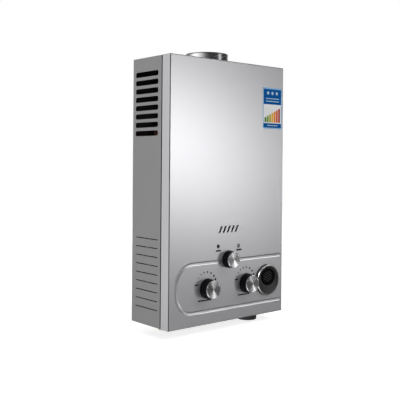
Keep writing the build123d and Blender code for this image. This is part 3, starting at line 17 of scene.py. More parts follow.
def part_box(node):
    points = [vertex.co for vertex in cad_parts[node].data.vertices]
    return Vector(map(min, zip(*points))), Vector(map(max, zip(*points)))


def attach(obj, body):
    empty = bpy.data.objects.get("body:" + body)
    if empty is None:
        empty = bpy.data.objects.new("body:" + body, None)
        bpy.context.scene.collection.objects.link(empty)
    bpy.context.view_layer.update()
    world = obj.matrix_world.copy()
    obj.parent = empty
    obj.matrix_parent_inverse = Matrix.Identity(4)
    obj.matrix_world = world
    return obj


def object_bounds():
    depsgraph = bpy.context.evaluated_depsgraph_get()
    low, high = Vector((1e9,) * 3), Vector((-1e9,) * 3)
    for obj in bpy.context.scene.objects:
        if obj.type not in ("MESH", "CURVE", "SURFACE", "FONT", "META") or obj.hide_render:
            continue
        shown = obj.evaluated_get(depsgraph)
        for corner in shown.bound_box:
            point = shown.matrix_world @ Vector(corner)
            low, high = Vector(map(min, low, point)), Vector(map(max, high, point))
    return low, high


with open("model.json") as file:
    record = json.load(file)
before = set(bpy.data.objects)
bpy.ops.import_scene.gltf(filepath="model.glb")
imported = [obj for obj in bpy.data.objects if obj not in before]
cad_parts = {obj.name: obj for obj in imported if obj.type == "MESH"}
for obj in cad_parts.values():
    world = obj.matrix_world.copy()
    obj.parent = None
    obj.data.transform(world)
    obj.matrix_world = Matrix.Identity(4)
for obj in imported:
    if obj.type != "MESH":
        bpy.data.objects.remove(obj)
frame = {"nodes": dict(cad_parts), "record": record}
CAD_LOW, CAD_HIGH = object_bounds()
NODES = frame["nodes"]
MM = 0.001
print("nodes:", len(NODES), "box:", tuple(CAD_LOW), tuple(CAD_HIGH))

# %% [markdown]
# A piece that is added later has to sit on what carries it. Its place could be typed in, but here
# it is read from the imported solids, so it still fits if a size changes. The front sheet faces -Y,
# and a height is counted from the lower edge of the casing.

# %% Read the places
COVER_LOW, COVER_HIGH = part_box("front_cover")
FRONT_Y = COVER_LOW.y
FOOT_Z = COVER_LOW.z


def middle(node):
    """The point halfway between a node's lowest and highest corner."""
    low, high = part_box(node)
    return (low + high) / 2


FLAME_KNOB = middle("flame_knob_face")
WATER_KNOB = middle("water_knob_face")
SEASON_KNOB = middle("season_knob_face")
DISPLAY = middle("display_bezel")
print("front plane at", round(FRONT_Y, 4), "lower edge at", round(FOOT_Z, 4))

# %% [markdown]
# The camera stands to the left of the heater, a little above its middle. It could be tipped down to
# take in the lower end, but then the upright edges would lean together. So it stays level, and a
# shift of the picture plane brings the heater into the frame. The numbers come from the six corners
# of the casing in the photograph and the casing's own size.

# %% Set up the camera
PICTURE_PX = 400
FOCAL_PX = 699.6
HORIZON_PX = 161.9
SENSOR_MM = 36.0
CAMERA_SPOT = Vector((-1.0857, -1.3013, 0.0651))
CAMERA_YAW = math.radians(40.48)
CAMERA_ROLL = math.radians(0.46)


def aim_camera():
    """A level camera: forward is the yaw direction, and both picture axes turn by the roll around it."""
    forward = Vector((math.sin(CAMERA_YAW), math.cos(CAMERA_YAW), 0))
    right = Vector((math.cos(CAMERA_YAW), -math.sin(CAMERA_YAW), 0))
    up = Vector((0, 0, 1))
    across = right * math.cos(CAMERA_ROLL) + up * math.sin(CAMERA_ROLL)
    upward = up * math.cos(CAMERA_ROLL) - right * math.sin(CAMERA_ROLL)
    lens = bpy.data.cameras.new("portrait_lens")
    lens.sensor_width = SENSOR_MM
    lens.lens = SENSOR_MM * FOCAL_PX / PICTURE_PX
    lens.shift_y = HORIZON_PX / PICTURE_PX - 0.5
    camera = bpy.data.objects.new("portrait_camera", lens)
    bpy.context.scene.collection.objects.link(camera)
    turn = Matrix((across, upward, -forward)).transposed().to_4x4()
    camera.matrix_world = Matrix.Translation(CAMERA_SPOT) @ turn
    bpy.context.scene.camera = camera
    return lens


print("lens:", round(aim_camera().lens, 2), "mm")
bpy.context.scene.view_settings.view_transform = "Standard"

# %% [markdown]
# A finish is a graph of shader nodes. It could be wired by hand in the editor, but a script can be
# read and run again, so a few helpers come first. One adds a node and fills its inputs: a socket
# that is given is linked, and a number is set. The others do sums, or carry a value over to another
# range.

# %% Helpers for shader nodes


def add(tree, kind, inputs=None, **options):
    """Adds a node of one kind, sets its options, and links or sets each input by name or number."""
    made = tree.nodes.new(kind)
    for key, value in options.items():
        setattr(made, key, value)
    for key, value in (inputs or {}).items():
        if isinstance(value, bpy.types.NodeSocket):
            tree.links.new(value, made.inputs[key])
        else:
            made.inputs[key].default_value = value
    return made


def maths(tree, operation, first, second=0.0):
    """One step of arithmetic on two numbers or sockets."""
    return add(tree, "ShaderNodeMath", {0: first, 1: second}, operation=operation).outputs[0]


def product(tree, first, *others):
    """All factors multiplied, one after the other."""
    for factor in others:
        first = maths(tree, "MULTIPLY", first, factor)
    return first


def mixed(tree, share, first, second):
    """The first number where the share is 0, the second where it is 1."""
    return add(tree, "ShaderNodeMix", {"Factor": share, "A": first, "B": second}).outputs[0]


def spread(tree, value, low, high, start=0.0, end=1.0, **options):
    """A straight line from low, at the value's start, to high, at its end, and level beyond both."""
    return add(
        tree, "ShaderNodeMapRange",
        {"Value": value, "From Min": start, "From Max": end, "To Min": low, "To Max": high},
        **options,
    ).outputs["Result"]


def ramp(tree, value, start, end, low=0.0, high=1.0):
    """A smooth step from low at the start to high at the end."""
    return spread(tree, value, low, high, start, end, interpolation_type="SMOOTHSTEP")


print("node helpers ready")

# %% [markdown]
# Bright metal shows the room more than itself. The room could be a picture wrapped round the scene,
# but a formula of direction needs no file and is easy to tune. It is a studio with soft cards in
# it. Each card is a bell curve of azimuth and height, in degrees, so it has no hard edge. The strip
# lamp lies across the front sheet as a glow, the high card lights the lower flank of the pressed
# bead, and the low lamp and the corner card lift the lower end of the sheet. The left card draws
# the bright streak on the flue, and the upper and floor cards glint on the rims of the display and
# the knobs.

# %% Hang the studio's cards
CARDS = {
    "strip lamp": dict(azimuth=37.5, height=1.9, wide=4.2, tall=3.5, slope=-0.6, level=7.4),
    "high card": dict(azimuth=58.0, height=38.0, wide=26.0, tall=7.0, slope=0.0, level=3.4),
    "low lamp": dict(azimuth=39.0, height=-26.0, wide=5.0, tall=5.0, slope=0.0, level=2.0),
    "left card": dict(azimuth=-108.0, height=0.0, wide=18.0, tall=25.0, slope=0.0, level=2.5),
    "corner card": dict(azimuth=30.0, height=-10.0, wide=2.5, tall=8.0, slope=0.0, level=0.3),
    "upper card": dict(azimuth=-76.0, height=34.0, wide=16.0, tall=12.0, slope=0.0, level=6.0),
    "floor card": dict(azimuth=-41.0, height=-54.0, wide=26.0, tall=12.0, slope=0.0, level=2.6),
}


def hill(tree, value, centre, width):
    """A bell curve: e to the power of minus half the squared distance from its centre, in widths."""
    away = maths(tree, "DIVIDE", maths(tree, "SUBTRACT", value, centre), width)
    square = maths(tree, "MULTIPLY", away, away)
    return maths(tree, "POWER", math.e, maths(tree, "MULTIPLY", square, -0.5))


def card_level(tree, azimuth, height, card):
    """Two bell curves multiplied: across the azimuth, and across a height that leans with the azimuth."""
    across = maths(tree, "SUBTRACT", azimuth, card["azimuth"])
    leaning = maths(tree, "SUBTRACT", height, maths(tree, "MULTIPLY", across, card["slope"]))
    return product(
        tree, hill(tree, azimuth, card["azimuth"], card["wide"]),
        hill(tree, leaning, card["height"], card["tall"]), card["level"],
    )


print("studio cards:", list(CARDS))

# %% [markdown]
# Round the cards the studio is dim in front, paler behind and on the floor, and a little paler
# overhead. Only mirror rays see all this. The camera sees plain white, and matt surfaces get an
# even, dimmer light: one world could serve for all three, but then a white background would wash
# out the metal.

# %% Build the studio world
MATT_LEVEL = 0.42
DIM_LEVEL = 0.03
BACK_LEVEL, BACK_FROM, BACK_FULL = 0.49, 70.0, 140.0
LOW_SHARE, LOW_FROM, LOW_FULL = 0.2, -28.0, -6.0
PALE_FLOOR, FLOOR_FROM, FLOOR_FULL = 0.5, 5.0, -10.0
FLOOR_RIGHT, FLOOR_LEFT = 28.0, 12.0
CEILING_LEVEL, CEILING_FROM, CEILING_FULL = 0.12, 45.0, 70.0
WHITE = (1.0, 1.0, 1.0, 1.0)


def studio_level(tree):
    """Brightness by direction: azimuth from the front towards the right, and height over the horizon."""
    direction = add(tree, "ShaderNodeTexCoord").outputs["Generated"]
    x, y, z = add(tree, "ShaderNodeSeparateXYZ", {0: direction}).outputs
    azimuth = maths(tree, "DEGREES", maths(tree, "ARCTAN2", x, maths(tree, "MULTIPLY", y, -1.0)))
    height = maths(tree, "DEGREES", maths(tree, "ARCSINE", z))
    behind = ramp(tree, maths(tree, "ABSOLUTE", azimuth), BACK_FROM, BACK_FULL)
    back = ramp(tree, height, LOW_FROM, LOW_FULL, LOW_SHARE * BACK_LEVEL, BACK_LEVEL)
    ceiling = ramp(tree, height, CEILING_FROM, CEILING_FULL, DIM_LEVEL, CEILING_LEVEL)
    floor = product(
        tree, ramp(tree, height, FLOOR_FROM, FLOOR_FULL), ramp(tree, azimuth, FLOOR_RIGHT, FLOOR_LEFT),
        maths(tree, "SUBTRACT", 1.0, behind), PALE_FLOOR,
    )
    level = maths(tree, "ADD", ceiling, maths(tree, "MULTIPLY", behind, back))
    level = maths(tree, "ADD", level, floor)
    for card in CARDS.values():
        level = maths(tree, "ADD", level, card_level(tree, azimuth, height, card))
    return level


def build_world():
    """Camera and transmission rays see 1, mirror rays see the studio, all others the matt level."""
    world = bpy.data.worlds.new("white_studio")
    world.use_nodes = True
    tree = world.node_tree
    rays = add(tree, "ShaderNodeLightPath").outputs
    plain = maths(tree, "MAXIMUM", rays["Is Camera Ray"], rays["Is Transmission Ray"])
    level = mixed(tree, rays["Is Glossy Ray"], MATT_LEVEL, studio_level(tree))
    background = tree.nodes["Background"]
    background.inputs["Color"].default_value = WHITE
    tree.links.new(mixed(tree, plain, level, 1.0), background.inputs["Strength"])
    bpy.context.scene.world = world
    return tree


print("world nodes:", len(build_world().nodes))

# %% [markdown]
# The lamps are soft and few: squares that shine from their whole face, since a point would draw
# hard shadows. A high one to the front right shapes the matt pieces, a wide one overhead gives the
# floor its soft shadow, and one behind keeps the back from going dark when the heater is looked at
# from there. None of them is seen in the metal, which already has the studio's own cards to mirror.

# %% Hang the lamps
LAMPS = {
    "front_right_lamp": dict(spot=(2.0, -2.4, 2.1), target=(0.0, -0.15, -0.2), size=0.5, watts=50.0),
    "overhead_lamp": dict(spot=(-0.3, -0.5, 2.2), target=(0.0, -0.1, 0.0), size=1.6, watts=12.0),
    "rear_lamp": dict(spot=(0.5, 2.8, 1.2), target=(0.0, 0.0, 0.0), size=1.2, watts=45.0),
}


def hang_lamp(name, spot, target, size, watts):
    """A square area lamp at a spot, its face turned to the target."""
    light = bpy.data.lights.new(name, "AREA")
    light.size = size
    light.energy = watts
    lamp = bpy.data.objects.new(name, light)
    aim = Vector(target) - Vector(spot)
    lamp.matrix_world = Matrix.Translation(spot) @ aim.to_track_quat("-Z", "Y").to_matrix().to_4x4()
    lamp.visible_camera = False
    lamp.visible_glossy = False
    bpy.context.scene.collection.objects.link(lamp)


for lamp_name, lamp_values in LAMPS.items():
    hang_lamp(lamp_name, **lamp_values)
print("lamps:", list(LAMPS))

# %% [markdown]
# New pieces are grids of points worked out with numpy. They could be modelled by hand, but a
# formula keeps their sizes exact and easy to change. One helper turns any grid into a mesh:
# neighbours make squares, seams and poles are welded, and the faces are turned outwards. A leading
# axis carries many patches at once, which suits rows of dots.

# %% Helpers for meshes
WELD = 1e-7
CREASE_DEGREES = 35.0


def grid_mesh(name, grid, ring_rows=False, ring_columns=True, crease=CREASE_DEGREES):
    """Joins point (i, j) of each patch with its next row and column; a ring joins last to first."""
    patches, rows, columns = grid.shape[:3]
    patch = np.arange(patches)[:, None, None] * rows * columns
    row = np.arange(rows if ring_rows else rows - 1)[None, :, None]
    column = np.arange(columns if ring_columns else columns - 1)[None, None, :]
    row_after = (row + 1) % rows
    column_after = (column + 1) % columns
    corners = [
        row * columns + column, row * columns + column_after,
        row_after * columns + column_after, row_after * columns + column,
    ]
    faces = np.stack([patch + corner for corner in corners], axis=-1).reshape(-1, 4)
    mesh = bpy.data.meshes.new(name)
    mesh.from_pydata(grid.reshape(-1, 3).tolist(), [], faces.tolist())
    shell = bmesh.new()
    shell.from_mesh(mesh)
    bmesh.ops.remove_doubles(shell, verts=shell.verts, dist=WELD)
    bmesh.ops.recalc_face_normals(shell, faces=shell.faces)
    shell.to_mesh(mesh)
    shell.free()
    mesh.shade_smooth()
    mesh.set_sharp_from_angle(angle=math.radians(crease))
    return mesh


def oval_ring(radius, half_wide, half_tall, around, across):
    """An oval section carried round an axis. Its reach is the radius plus the half width times the
    section's cosine. Gives the reach times the turn's cosine and sine, which lie across the axis,
    and the half height times the section's sine, which lies along it."""
    turn, section = np.meshgrid(
        np.linspace(0, 2 * np.pi, around, endpoint=False),
        np.linspace(0, 2 * np.pi, across, endpoint=False), indexing="ij",
    )
    reach = radius + half_wide * np.cos(section)
    return reach * np.cos(turn), reach * np.sin(turn), half_tall * np.sin(section)


def place_piece(name, mesh, material, body):
    """Links a finished mesh as a piece that rides on a body, with the material given."""
    piece = bpy.data.objects.new(name, mesh)
    bpy.context.scene.collection.objects.link(piece)
    mesh.materials.append(material)
    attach(piece, body)
    print(name, "faces:", len(mesh.polygons))


print("mesh helpers ready")

# %% [markdown]
# Every finish starts with one shader that has its constant values on its own sockets. The floor is
# the first, a pale sheet just under the pipe ends. More light could make it white, but would wash
# out the heater too, so it gets a glow that only the camera sees, and keeps the heater's soft
# shadow. Mirror rays pass it, since the studio already holds what the metal sees below the horizon.

# %% Lay the floor
FLOOR_REACH = 6.0
FLOOR_GAP = 0.5 * MM
FLOOR_Z = CAD_LOW.z - FLOOR_GAP
FLOOR_GREY = (0.45, 0.45, 0.45)
FLOOR_GLOW = 0.8


def start_finish(name, colour, metallic, roughness, **sockets):
    """A material with one Principled shader, whose constants sit on its own sockets."""
    material = bpy.data.materials.new(name)
    material.use_nodes = True
    shader = material.node_tree.nodes["Principled BSDF"]
    shader.inputs["Base Color"].default_value = (*colour, 1.0)
    shader.inputs["Metallic"].default_value = metallic
    shader.inputs["Roughness"].default_value = roughness
    for key, value in sockets.items():
        shader.inputs[key.replace("_", " ")].default_value = value
    return material, material.node_tree, shader


def lay_floor():
    """One square sheet, x and y from minus to plus its reach, at a constant height."""
    side = np.linspace(-FLOOR_REACH, FLOOR_REACH, 2)
    x, y = np.meshgrid(side, side, indexing="ij")
    grid = np.stack([x, y, np.full_like(x, FLOOR_Z)], axis=-1)
    mesh = grid_mesh("floor", grid[None], ring_columns=False)
    material, tree, shader = start_finish(
        "pale_floor", FLOOR_GREY, metallic=0.0, roughness=0.9, Specular_IOR_Level=0.0
    )
    rays = add(tree, "ShaderNodeLightPath").outputs
    shader.inputs["Emission Color"].default_value = WHITE
    glow = maths(tree, "MULTIPLY", rays["Is Camera Ray"], FLOOR_GLOW)
    tree.links.new(glow, shader.inputs["Emission Strength"])
    mesh.materials.append(material)
    floor = bpy.data.objects.new("floor", mesh)
    bpy.context.scene.collection.objects.link(floor)
    floor.visible_glossy = False


lay_floor()
print("floor at", round(FLOOR_Z, 4))

# %% [markdown]
# Every finish has the marks of how it was made: rolling, brushing, casting or moulding. Pictures
# could show them, but need files and unwrapping. Noise on the piece's own coordinates, in metres,
# keeps the grain at its size and rides with the piece.

# %% Helpers for surface grain
EVEN = (1.0, 1.0, 1.0)
NOISE_LOW, NOISE_HIGH = 0.3, 0.7
NOISE_DETAIL = 3.0


def own_place(tree):
    """The point on the surface, in metres of the part's own frame."""
    return add(tree, "ShaderNodeTexCoord").outputs["Object"]


def grain(tree, scale, low, high, stretch=EVEN):
    """Noise in a space stretched along the axes, spread over the range from low to high."""
    place = own_place(tree)
    place = add(tree, "ShaderNodeMapping", {"Vector": place, "Scale": stretch}).outputs["Vector"]
    noise = add(tree, "ShaderNodeTexNoise", {"Vector": place, "Scale": scale, "Detail": NOISE_DETAIL})
    return spread(tree, noise.outputs[0], low, high, NOISE_LOW, NOISE_HIGH)


def swing(tree, scale, middle_level, share, stretch=EVEN):
    """Grain from a level less its share to the level plus its share."""
    return grain(tree, scale, middle_level * (1.0 - share), middle_level * (1.0 + share), stretch)


def shade(tree, shader, colour, level):
    """The base colour times a level that varies over the surface."""
    scaled = add(tree, "ShaderNodeVectorMath", {0: colour, "Scale": level}, operation="SCALE").outputs[0]
    tree.links.new(scaled, shader.inputs["Base Color"])


def relief(tree, shader, height, depth):
    """A bump whose full height is the depth in metres."""
    bump = add(tree, "ShaderNodeBump", {"Height": height, "Distance": depth, "Strength": 1.0}).outputs[0]
    tree.links.new(bump, shader.inputs["Normal"])


print("grain helpers ready")

# %% [markdown]
# Every finish could have a graph of its own, but two families cover most of the heater. Worked
# metal has lines or spots in its colour, its gloss and its relief, stretched the way it was rolled
# or ground, under larger, fainter clouds. Moulded, sprayed and printed things have a fine even
# speckle, and softer patches in their gloss.

# %% Two families of finish
CLOUD_SCALE = 6.0
GLOSS_SCALE_SHARE = 0.7
PATCH_SCALE, PATCH_SHARE = 25.0, 0.15


def worked_metal(name, colour, roughness, scale, contrast, depth, stretch=EVEN, metallic=1.0):
    """Metal with a stretched grain in its colour, its gloss and its relief."""
    material, tree, shader = start_finish(name, colour, metallic, roughness)
    lines = swing(tree, scale, 1.0, contrast, stretch)
    cloud = swing(tree, CLOUD_SCALE, 1.0, contrast / 2)
    shade(tree, shader, colour, maths(tree, "MULTIPLY", lines, cloud))
    gloss = swing(tree, scale * GLOSS_SCALE_SHARE, roughness, contrast * 2, stretch)
    tree.links.new(gloss, shader.inputs["Roughness"])
    relief(tree, shader, lines, depth)
    return material


def moulded(name, colour, roughness, scale, contrast, depth, **sockets):
    """Plastic, rubber, paint or ink: an even speckle in colour and relief, and patches in the gloss."""
    material, tree, shader = start_finish(name, colour, 0.0, roughness, **sockets)
    speckle = swing(tree, scale, 1.0, contrast)
    shade(tree, shader, colour, speckle)
    tree.links.new(swing(tree, PATCH_SCALE, roughness, PATCH_SHARE), shader.inputs["Roughness"])
    relief(tree, shader, speckle, depth)
    return material


print("finish families ready")

# %% [markdown]
# The front is stainless sheet, ground with an upright grain. The sides, top and bottom are coated
# steel, greyer and more matt, with the faint speckle of sprayed paint. The flue collar is bright
# rolled steel, so its grain runs round the pipe. One metal could serve for all, but it is by their
# gloss that the sheets are told apart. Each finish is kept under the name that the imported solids
# carry for it.

# %% Finishes of the casing
GREY_SHEET = dict(
    colour=(0.295, 0.295, 0.3), roughness=0.46, metallic=0.45,
    scale=1400.0, stretch=(1.0, 1.0, 0.6), contrast=0.05, depth=0.006 * MM,
)
FINISHES = {
    "stainless_cover": worked_metal(
        "stainless_cover_sheet", colour=(0.559, 0.556, 0.573), roughness=0.27, metallic=0.7,
        scale=1100.0, stretch=(1.0, 1.0, 0.02), contrast=0.006, depth=0.0006 * MM,
    ),
    "grey_panel": worked_metal("grey_coated_sheet", **GREY_SHEET),
    "flue_steel": worked_metal(
        "flue_rolled_steel", colour=(0.43, 0.43, 0.44), roughness=0.26,
        scale=700.0, stretch=(0.03, 0.03, 1.0), contrast=0.04, depth=0.002 * MM,
    ),
    "screw_steel": worked_metal(
        "screw_plated_steel", colour=(0.55, 0.55, 0.56), roughness=0.28,
        scale=900.0, contrast=0.08, depth=0.004 * MM,
    ),
}
SHADED_SHELL_FINISH = worked_metal("grey_coated_shell", **GREY_SHEET)
print("casing finishes:", list(FINISHES))

# %% [markdown]
# Some places of the casing get painted shade. The shell that makes back and sides has painted shade on
# its inner side, which stands in for the shade inside the closed casing and makes the vents look black.
# The cover has a painted dark line where it is bent, which stands in for the dark that its folds reflect,
# and painted shade round the slots and along the lip of the flue. Separate pieces could show this, but it
# is one sheet, so a mask of the place darkens its finish.

# %% Painted shade on the casing
SHELL_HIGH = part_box("rear_shell")[1]
COLLAR_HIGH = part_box("flue_collar")[1]
HALF_SHEET = 0.4 * MM
INSIDE_SHADE_SHARE = 0.1
BEND_R, BEND_SHADE_SHARE = 2.0 * MM, 0.15
BEND_FULL = 0.7
BEND_BACK, BEND_FRONT = 0.95, 0.65
SLOT_COUNT, SLOT_PITCH = 5, 12.4 * MM
SLOT_X, SLOT_H = -2.75 * MM, 208.2 * MM
SLOT_LEAN = 0.517
SLOT_HALF_WIDE, SLOT_HALF_TALL = 2.9 * MM, 7.6 * MM
RIM_TALL, RIM_SHADE_SHARE = 3.0 * MM, 0.3
RIM_FULL = 0.7


def spot_axes(tree):
    """The point on the surface as sockets X, Y and Z."""
    return add(tree, "ShaderNodeSeparateXYZ", {0: own_place(tree)}).outputs


def within(tree, value, reach):
    """1 where the value is nearer to 0 than its reach."""
    return maths(tree, "LESS_THAN", maths(tree, "ABSOLUTE", value), reach)


def shell_inside_shade(tree):
    """1 on the shell's inner side, where shade is painted: short of its outer faces in X and Y, between
    the cover's ends in Z.
    """
    spot = spot_axes(tree)
    return product(
        tree, within(tree, spot["X"], SHELL_HIGH.x - HALF_SHEET),
        maths(tree, "LESS_THAN", spot["Y"], SHELL_HIGH.y - HALF_SHEET),
        maths(tree, "LESS_THAN", spot["Z"], COVER_HIGH.z - HALF_SHEET),
        maths(tree, "GREATER_THAN", spot["Z"], FOOT_Z + HALF_SHEET),
    )


def cover_bend_shade(tree):
    """1 where a dark line is painted at the cover's bends, at its top and sides: near such an edge, and
    near the front plane.
    """
    spot = spot_axes(tree)
    side_x = maths(tree, "ABSOLUTE", spot["X"])
    top = ramp(tree, spot["Z"], COVER_HIGH.z - BEND_R, COVER_HIGH.z - BEND_R * BEND_FULL)
    side = ramp(tree, side_x, COVER_HIGH.x - BEND_R, COVER_HIGH.x - BEND_R * BEND_FULL)
    front = ramp(tree, spot["Y"], FRONT_Y + BEND_R * BEND_BACK, FRONT_Y + BEND_R * BEND_FRONT)
    return maths(tree, "MULTIPLY", maths(tree, "MAXIMUM", top, side), front)


def slot_rim_shade(tree):
    """1 round the slanted slots, where shade is painted: close to one of their even centre lines, which
    lean with the height.
    """
    spot = spot_axes(tree)
    rise = maths(tree, "SUBTRACT", spot["Z"], FOOT_Z + SLOT_H)
    across = maths(tree, "SUBTRACT", spot["X"], SLOT_X)
    across = maths(tree, "SUBTRACT", across, maths(tree, "MULTIPLY", rise, SLOT_LEAN))
    nearest = maths(tree, "ROUND", maths(tree, "DIVIDE", across, SLOT_PITCH))
    away = maths(tree, "SUBTRACT", across, maths(tree, "MULTIPLY", nearest, SLOT_PITCH))
    return product(
        tree, within(tree, away, SLOT_HALF_WIDE), within(tree, rise, SLOT_HALF_TALL),
        within(tree, nearest, SLOT_COUNT / 2),
    )


def flue_rim_shade(tree):
    """1 along the free edge of the flue collar, over the height of its rolled lip, where shade is
    painted.
    """
    height = spot_axes(tree)["Z"]
    return ramp(tree, height, COLLAR_HIGH.z - RIM_TALL, COLLAR_HIGH.z - RIM_TALL * RIM_FULL)


def paint_shade(material, mask, share):
    """Paints shade: multiplies a finish's base colour by a share wherever the mask is 1."""
    tree = material.node_tree
    shader = tree.nodes["Principled BSDF"]
    plain = shader.inputs["Base Color"].links[0].from_socket
    shade(tree, shader, plain, spread(tree, mask(tree), 1.0, share))


# Painted shade on the shell's inner side, which makes the vents look black.
paint_shade(SHADED_SHELL_FINISH, shell_inside_shade, INSIDE_SHADE_SHARE)
# A painted dark line at the cover's bends, standing in for the dark that its folds reflect.
paint_shade(FINISHES["stainless_cover"], cover_bend_shade, BEND_SHADE_SHARE)
# Painted shade round the slots, which makes them look darker.
paint_shade(FINISHES["stainless_cover"], slot_rim_shade, BEND_SHADE_SHARE)
# Painted shade along the lip of the flue collar.
paint_shade(FINISHES["flue_steel"], flue_rim_shade, RIM_SHADE_SHARE)
print("darkened: shell inside, cover bends, slot rims, flue rim")

# %% [markdown]
# The knobs have black moulded skirts and spun aluminium faces. Spun metal is full of fine rings,
# and light spreads across the rings, not along them: that is what draws the bow tie. It could be
# painted on, but then it wouldn't move with the light. The shader's anisotropy does this when its
# tangent points away from the knob's own centre, so each face gets its own centre.

# %% Finishes of the knobs
FACE_COLOUR = (0.57, 0.57, 0.58)
FACE_ROUGHNESS, FACE_ANISOTROPY = 0.17, 0.98
RING_SCALE, RING_DETAIL = 2600.0, 2.0
RING_DARK, RING_LIGHT = 0.86, 1.14
RING_DEPTH = 0.002 * MM
DISH_SLOPE = 0.03
ACROSS_Y = (1.0, 0.0, 1.0)
FINISHES["knob_plastic"] = moulded(
    "knob_black_plastic", colour=(0.005, 0.005, 0.006), roughness=0.42,
    scale=2200.0, contrast=0.2, depth=0.01 * MM, Specular_IOR_Level=0.06,
)
FINISHES["cap_plastic"] = moulded(
    "cap_black_plastic", colour=(0.02, 0.02, 0.021), roughness=0.42,
    scale=1500.0, contrast=0.2, depth=0.015 * MM,
)


def from_axis(tree, centre):
    """The vector from an axis along Y to the point on the surface, and its length."""
    place = own_place(tree)
    offset = add(tree, "ShaderNodeVectorMath", {0: place, 1: centre}, operation="SUBTRACT").outputs[0]
    flat = add(tree, "ShaderNodeVectorMath", {0: offset, 1: ACROSS_Y}, operation="MULTIPLY").outputs[0]
    radius = add(tree, "ShaderNodeVectorMath", {0: flat}, operation="LENGTH").outputs["Value"]
    return flat, radius


def spun_face(name, centre):
    """Aluminium turned on a lathe: noise of the radius alone makes rings, and light spreads along the
    radius. The relief is the rings' depth times that noise, plus a slope times the radius, since the
    face is a little hollow."""
    material, tree, shader = start_finish(
        name, FACE_COLOUR, 1.0, FACE_ROUGHNESS, Anisotropic=FACE_ANISOTROPY
    )
    flat, radius = from_axis(tree, centre)
    tangent = add(
        tree, "ShaderNodeVectorTransform", {0: flat},
        vector_type="VECTOR", convert_from="OBJECT", convert_to="WORLD",
    ).outputs[0]
    tree.links.new(tangent, shader.inputs["Tangent"])
    rings = add(
        tree, "ShaderNodeTexNoise", {"W": radius, "Scale": RING_SCALE, "Detail": RING_DETAIL},
        noise_dimensions="1D",
    ).outputs[0]
    shade(tree, shader, FACE_COLOUR, spread(tree, rings, RING_DARK, RING_LIGHT))
    hollow = maths(tree, "MULTIPLY", radius, DISH_SLOPE)
    relief(tree, shader, maths(tree, "ADD", hollow, maths(tree, "MULTIPLY", rings, RING_DEPTH)), 1.0)
    return material


KNOB_FACES = {
    "flame_knob_face": spun_face("flame_spun_aluminium", FLAME_KNOB),
    "water_knob_face": spun_face("water_spun_aluminium", WATER_KNOB),
    "season_knob_face": spun_face("season_spun_aluminium", SEASON_KNOB),
}
print("knob faces:", list(KNOB_FACES))

# %% [markdown]
# The ring of the round display has a black wall with a chromed crown, and a dark grey cone that
# leads in. Two solids could take two finishes, but chrome and plastic are one moulding, so one
# finish changes with the radius.

# %% Finish of the display's ring
CROWN_INNER_R, CROWN_OUTER_R = 33.3 * MM, 36.3 * MM
CROWN_EDGE = 0.4 * MM
BEZEL_TINT = (1.0, 1.0, 1.01)
PLASTIC_TONE, CHROME_TONE = 0.032, 0.62
PLASTIC_ROUGHNESS, CHROME_ROUGHNESS = 0.36, 0.09
SPECKLE_SCALE, SPECKLE_SHARE = 1800.0, 0.1
SMEAR_SCALE, SMEAR_SHARE = 60.0, 0.15


def bezel_finish():
    """Dark plastic with a chromed crown: chrome comes in at one radius and goes out at a larger one."""
    material, tree, shader = start_finish(
        "bezel_two_tone", (0.05, 0.05, 0.052), metallic=0.0, roughness=0.4, Specular_IOR_Level=0.2
    )
    radius = from_axis(tree, DISPLAY)[1]
    rise = ramp(tree, radius, CROWN_INNER_R, CROWN_INNER_R + CROWN_EDGE)
    fall = ramp(tree, radius, CROWN_OUTER_R, CROWN_OUTER_R - CROWN_EDGE)
    chrome = maths(tree, "MULTIPLY", rise, fall)
    tree.links.new(chrome, shader.inputs["Metallic"])
    tone = spread(tree, chrome, PLASTIC_TONE, CHROME_TONE)
    speckle = swing(tree, SPECKLE_SCALE, 1.0, SPECKLE_SHARE)
    shade(tree, shader, BEZEL_TINT, maths(tree, "MULTIPLY", tone, speckle))
    gloss = spread(tree, chrome, PLASTIC_ROUGHNESS, CHROME_ROUGHNESS)
    smear = swing(tree, SMEAR_SCALE, 1.0, SMEAR_SHARE)
    tree.links.new(maths(tree, "MULTIPLY", gloss, smear), shader.inputs["Roughness"])
    return material


FINISHES["bezel_chrome"] = bezel_finish()
print("display ring: chrome from", CROWN_INNER_R, "to", CROWN_OUTER_R)

# %% [markdown]
# The window is black glass, printed grey outside an oval. Behind it the unlit segments show as
# faint slanted bars. They could be modelled, but so little of them is seen through dark glass that
# a wave in the finish is enough. The wave runs out before it comes to the border.

# %% Finish of the display's window
OVAL_X, OVAL_Z = 1.0 * MM, 7.6 * MM
OVAL_HALF_WIDE, OVAL_HALF_TALL = 24.2 * MM, 21.2 * MM
BORDER_LEVEL, BORDER_FROM, BORDER_FULL = 0.16, 0.97, 1.03
LATTICE_PITCH = 5.2 * MM
LATTICE_TURN = (0.0, math.radians(-28.0), 0.0)
LATTICE_END, LATTICE_FULL = 0.5, 0.25
WAVE_FROM, WAVE_FULL = 0.1, 0.8
GLASS_LEVEL, LATTICE_LEVEL = 0.003, 0.05
GLASS_TINT = (0.95, 1.0, 0.97)
GLASS_SCALE, GLASS_SMOOTH, GLASS_DULL = 40.0, 0.13, 0.2


def oval_square(tree):
    """The squared shares of the oval's two half sizes, added: 0 at its centre, 1 on its edge."""
    spot = spot_axes(tree)
    across = maths(tree, "DIVIDE", maths(tree, "SUBTRACT", spot["X"], DISPLAY.x + OVAL_X), OVAL_HALF_WIDE)
    upward = maths(tree, "DIVIDE", maths(tree, "SUBTRACT", spot["Z"], DISPLAY.z + OVAL_Z), OVAL_HALF_TALL)
    return maths(tree, "ADD", product(tree, across, across), product(tree, upward, upward))


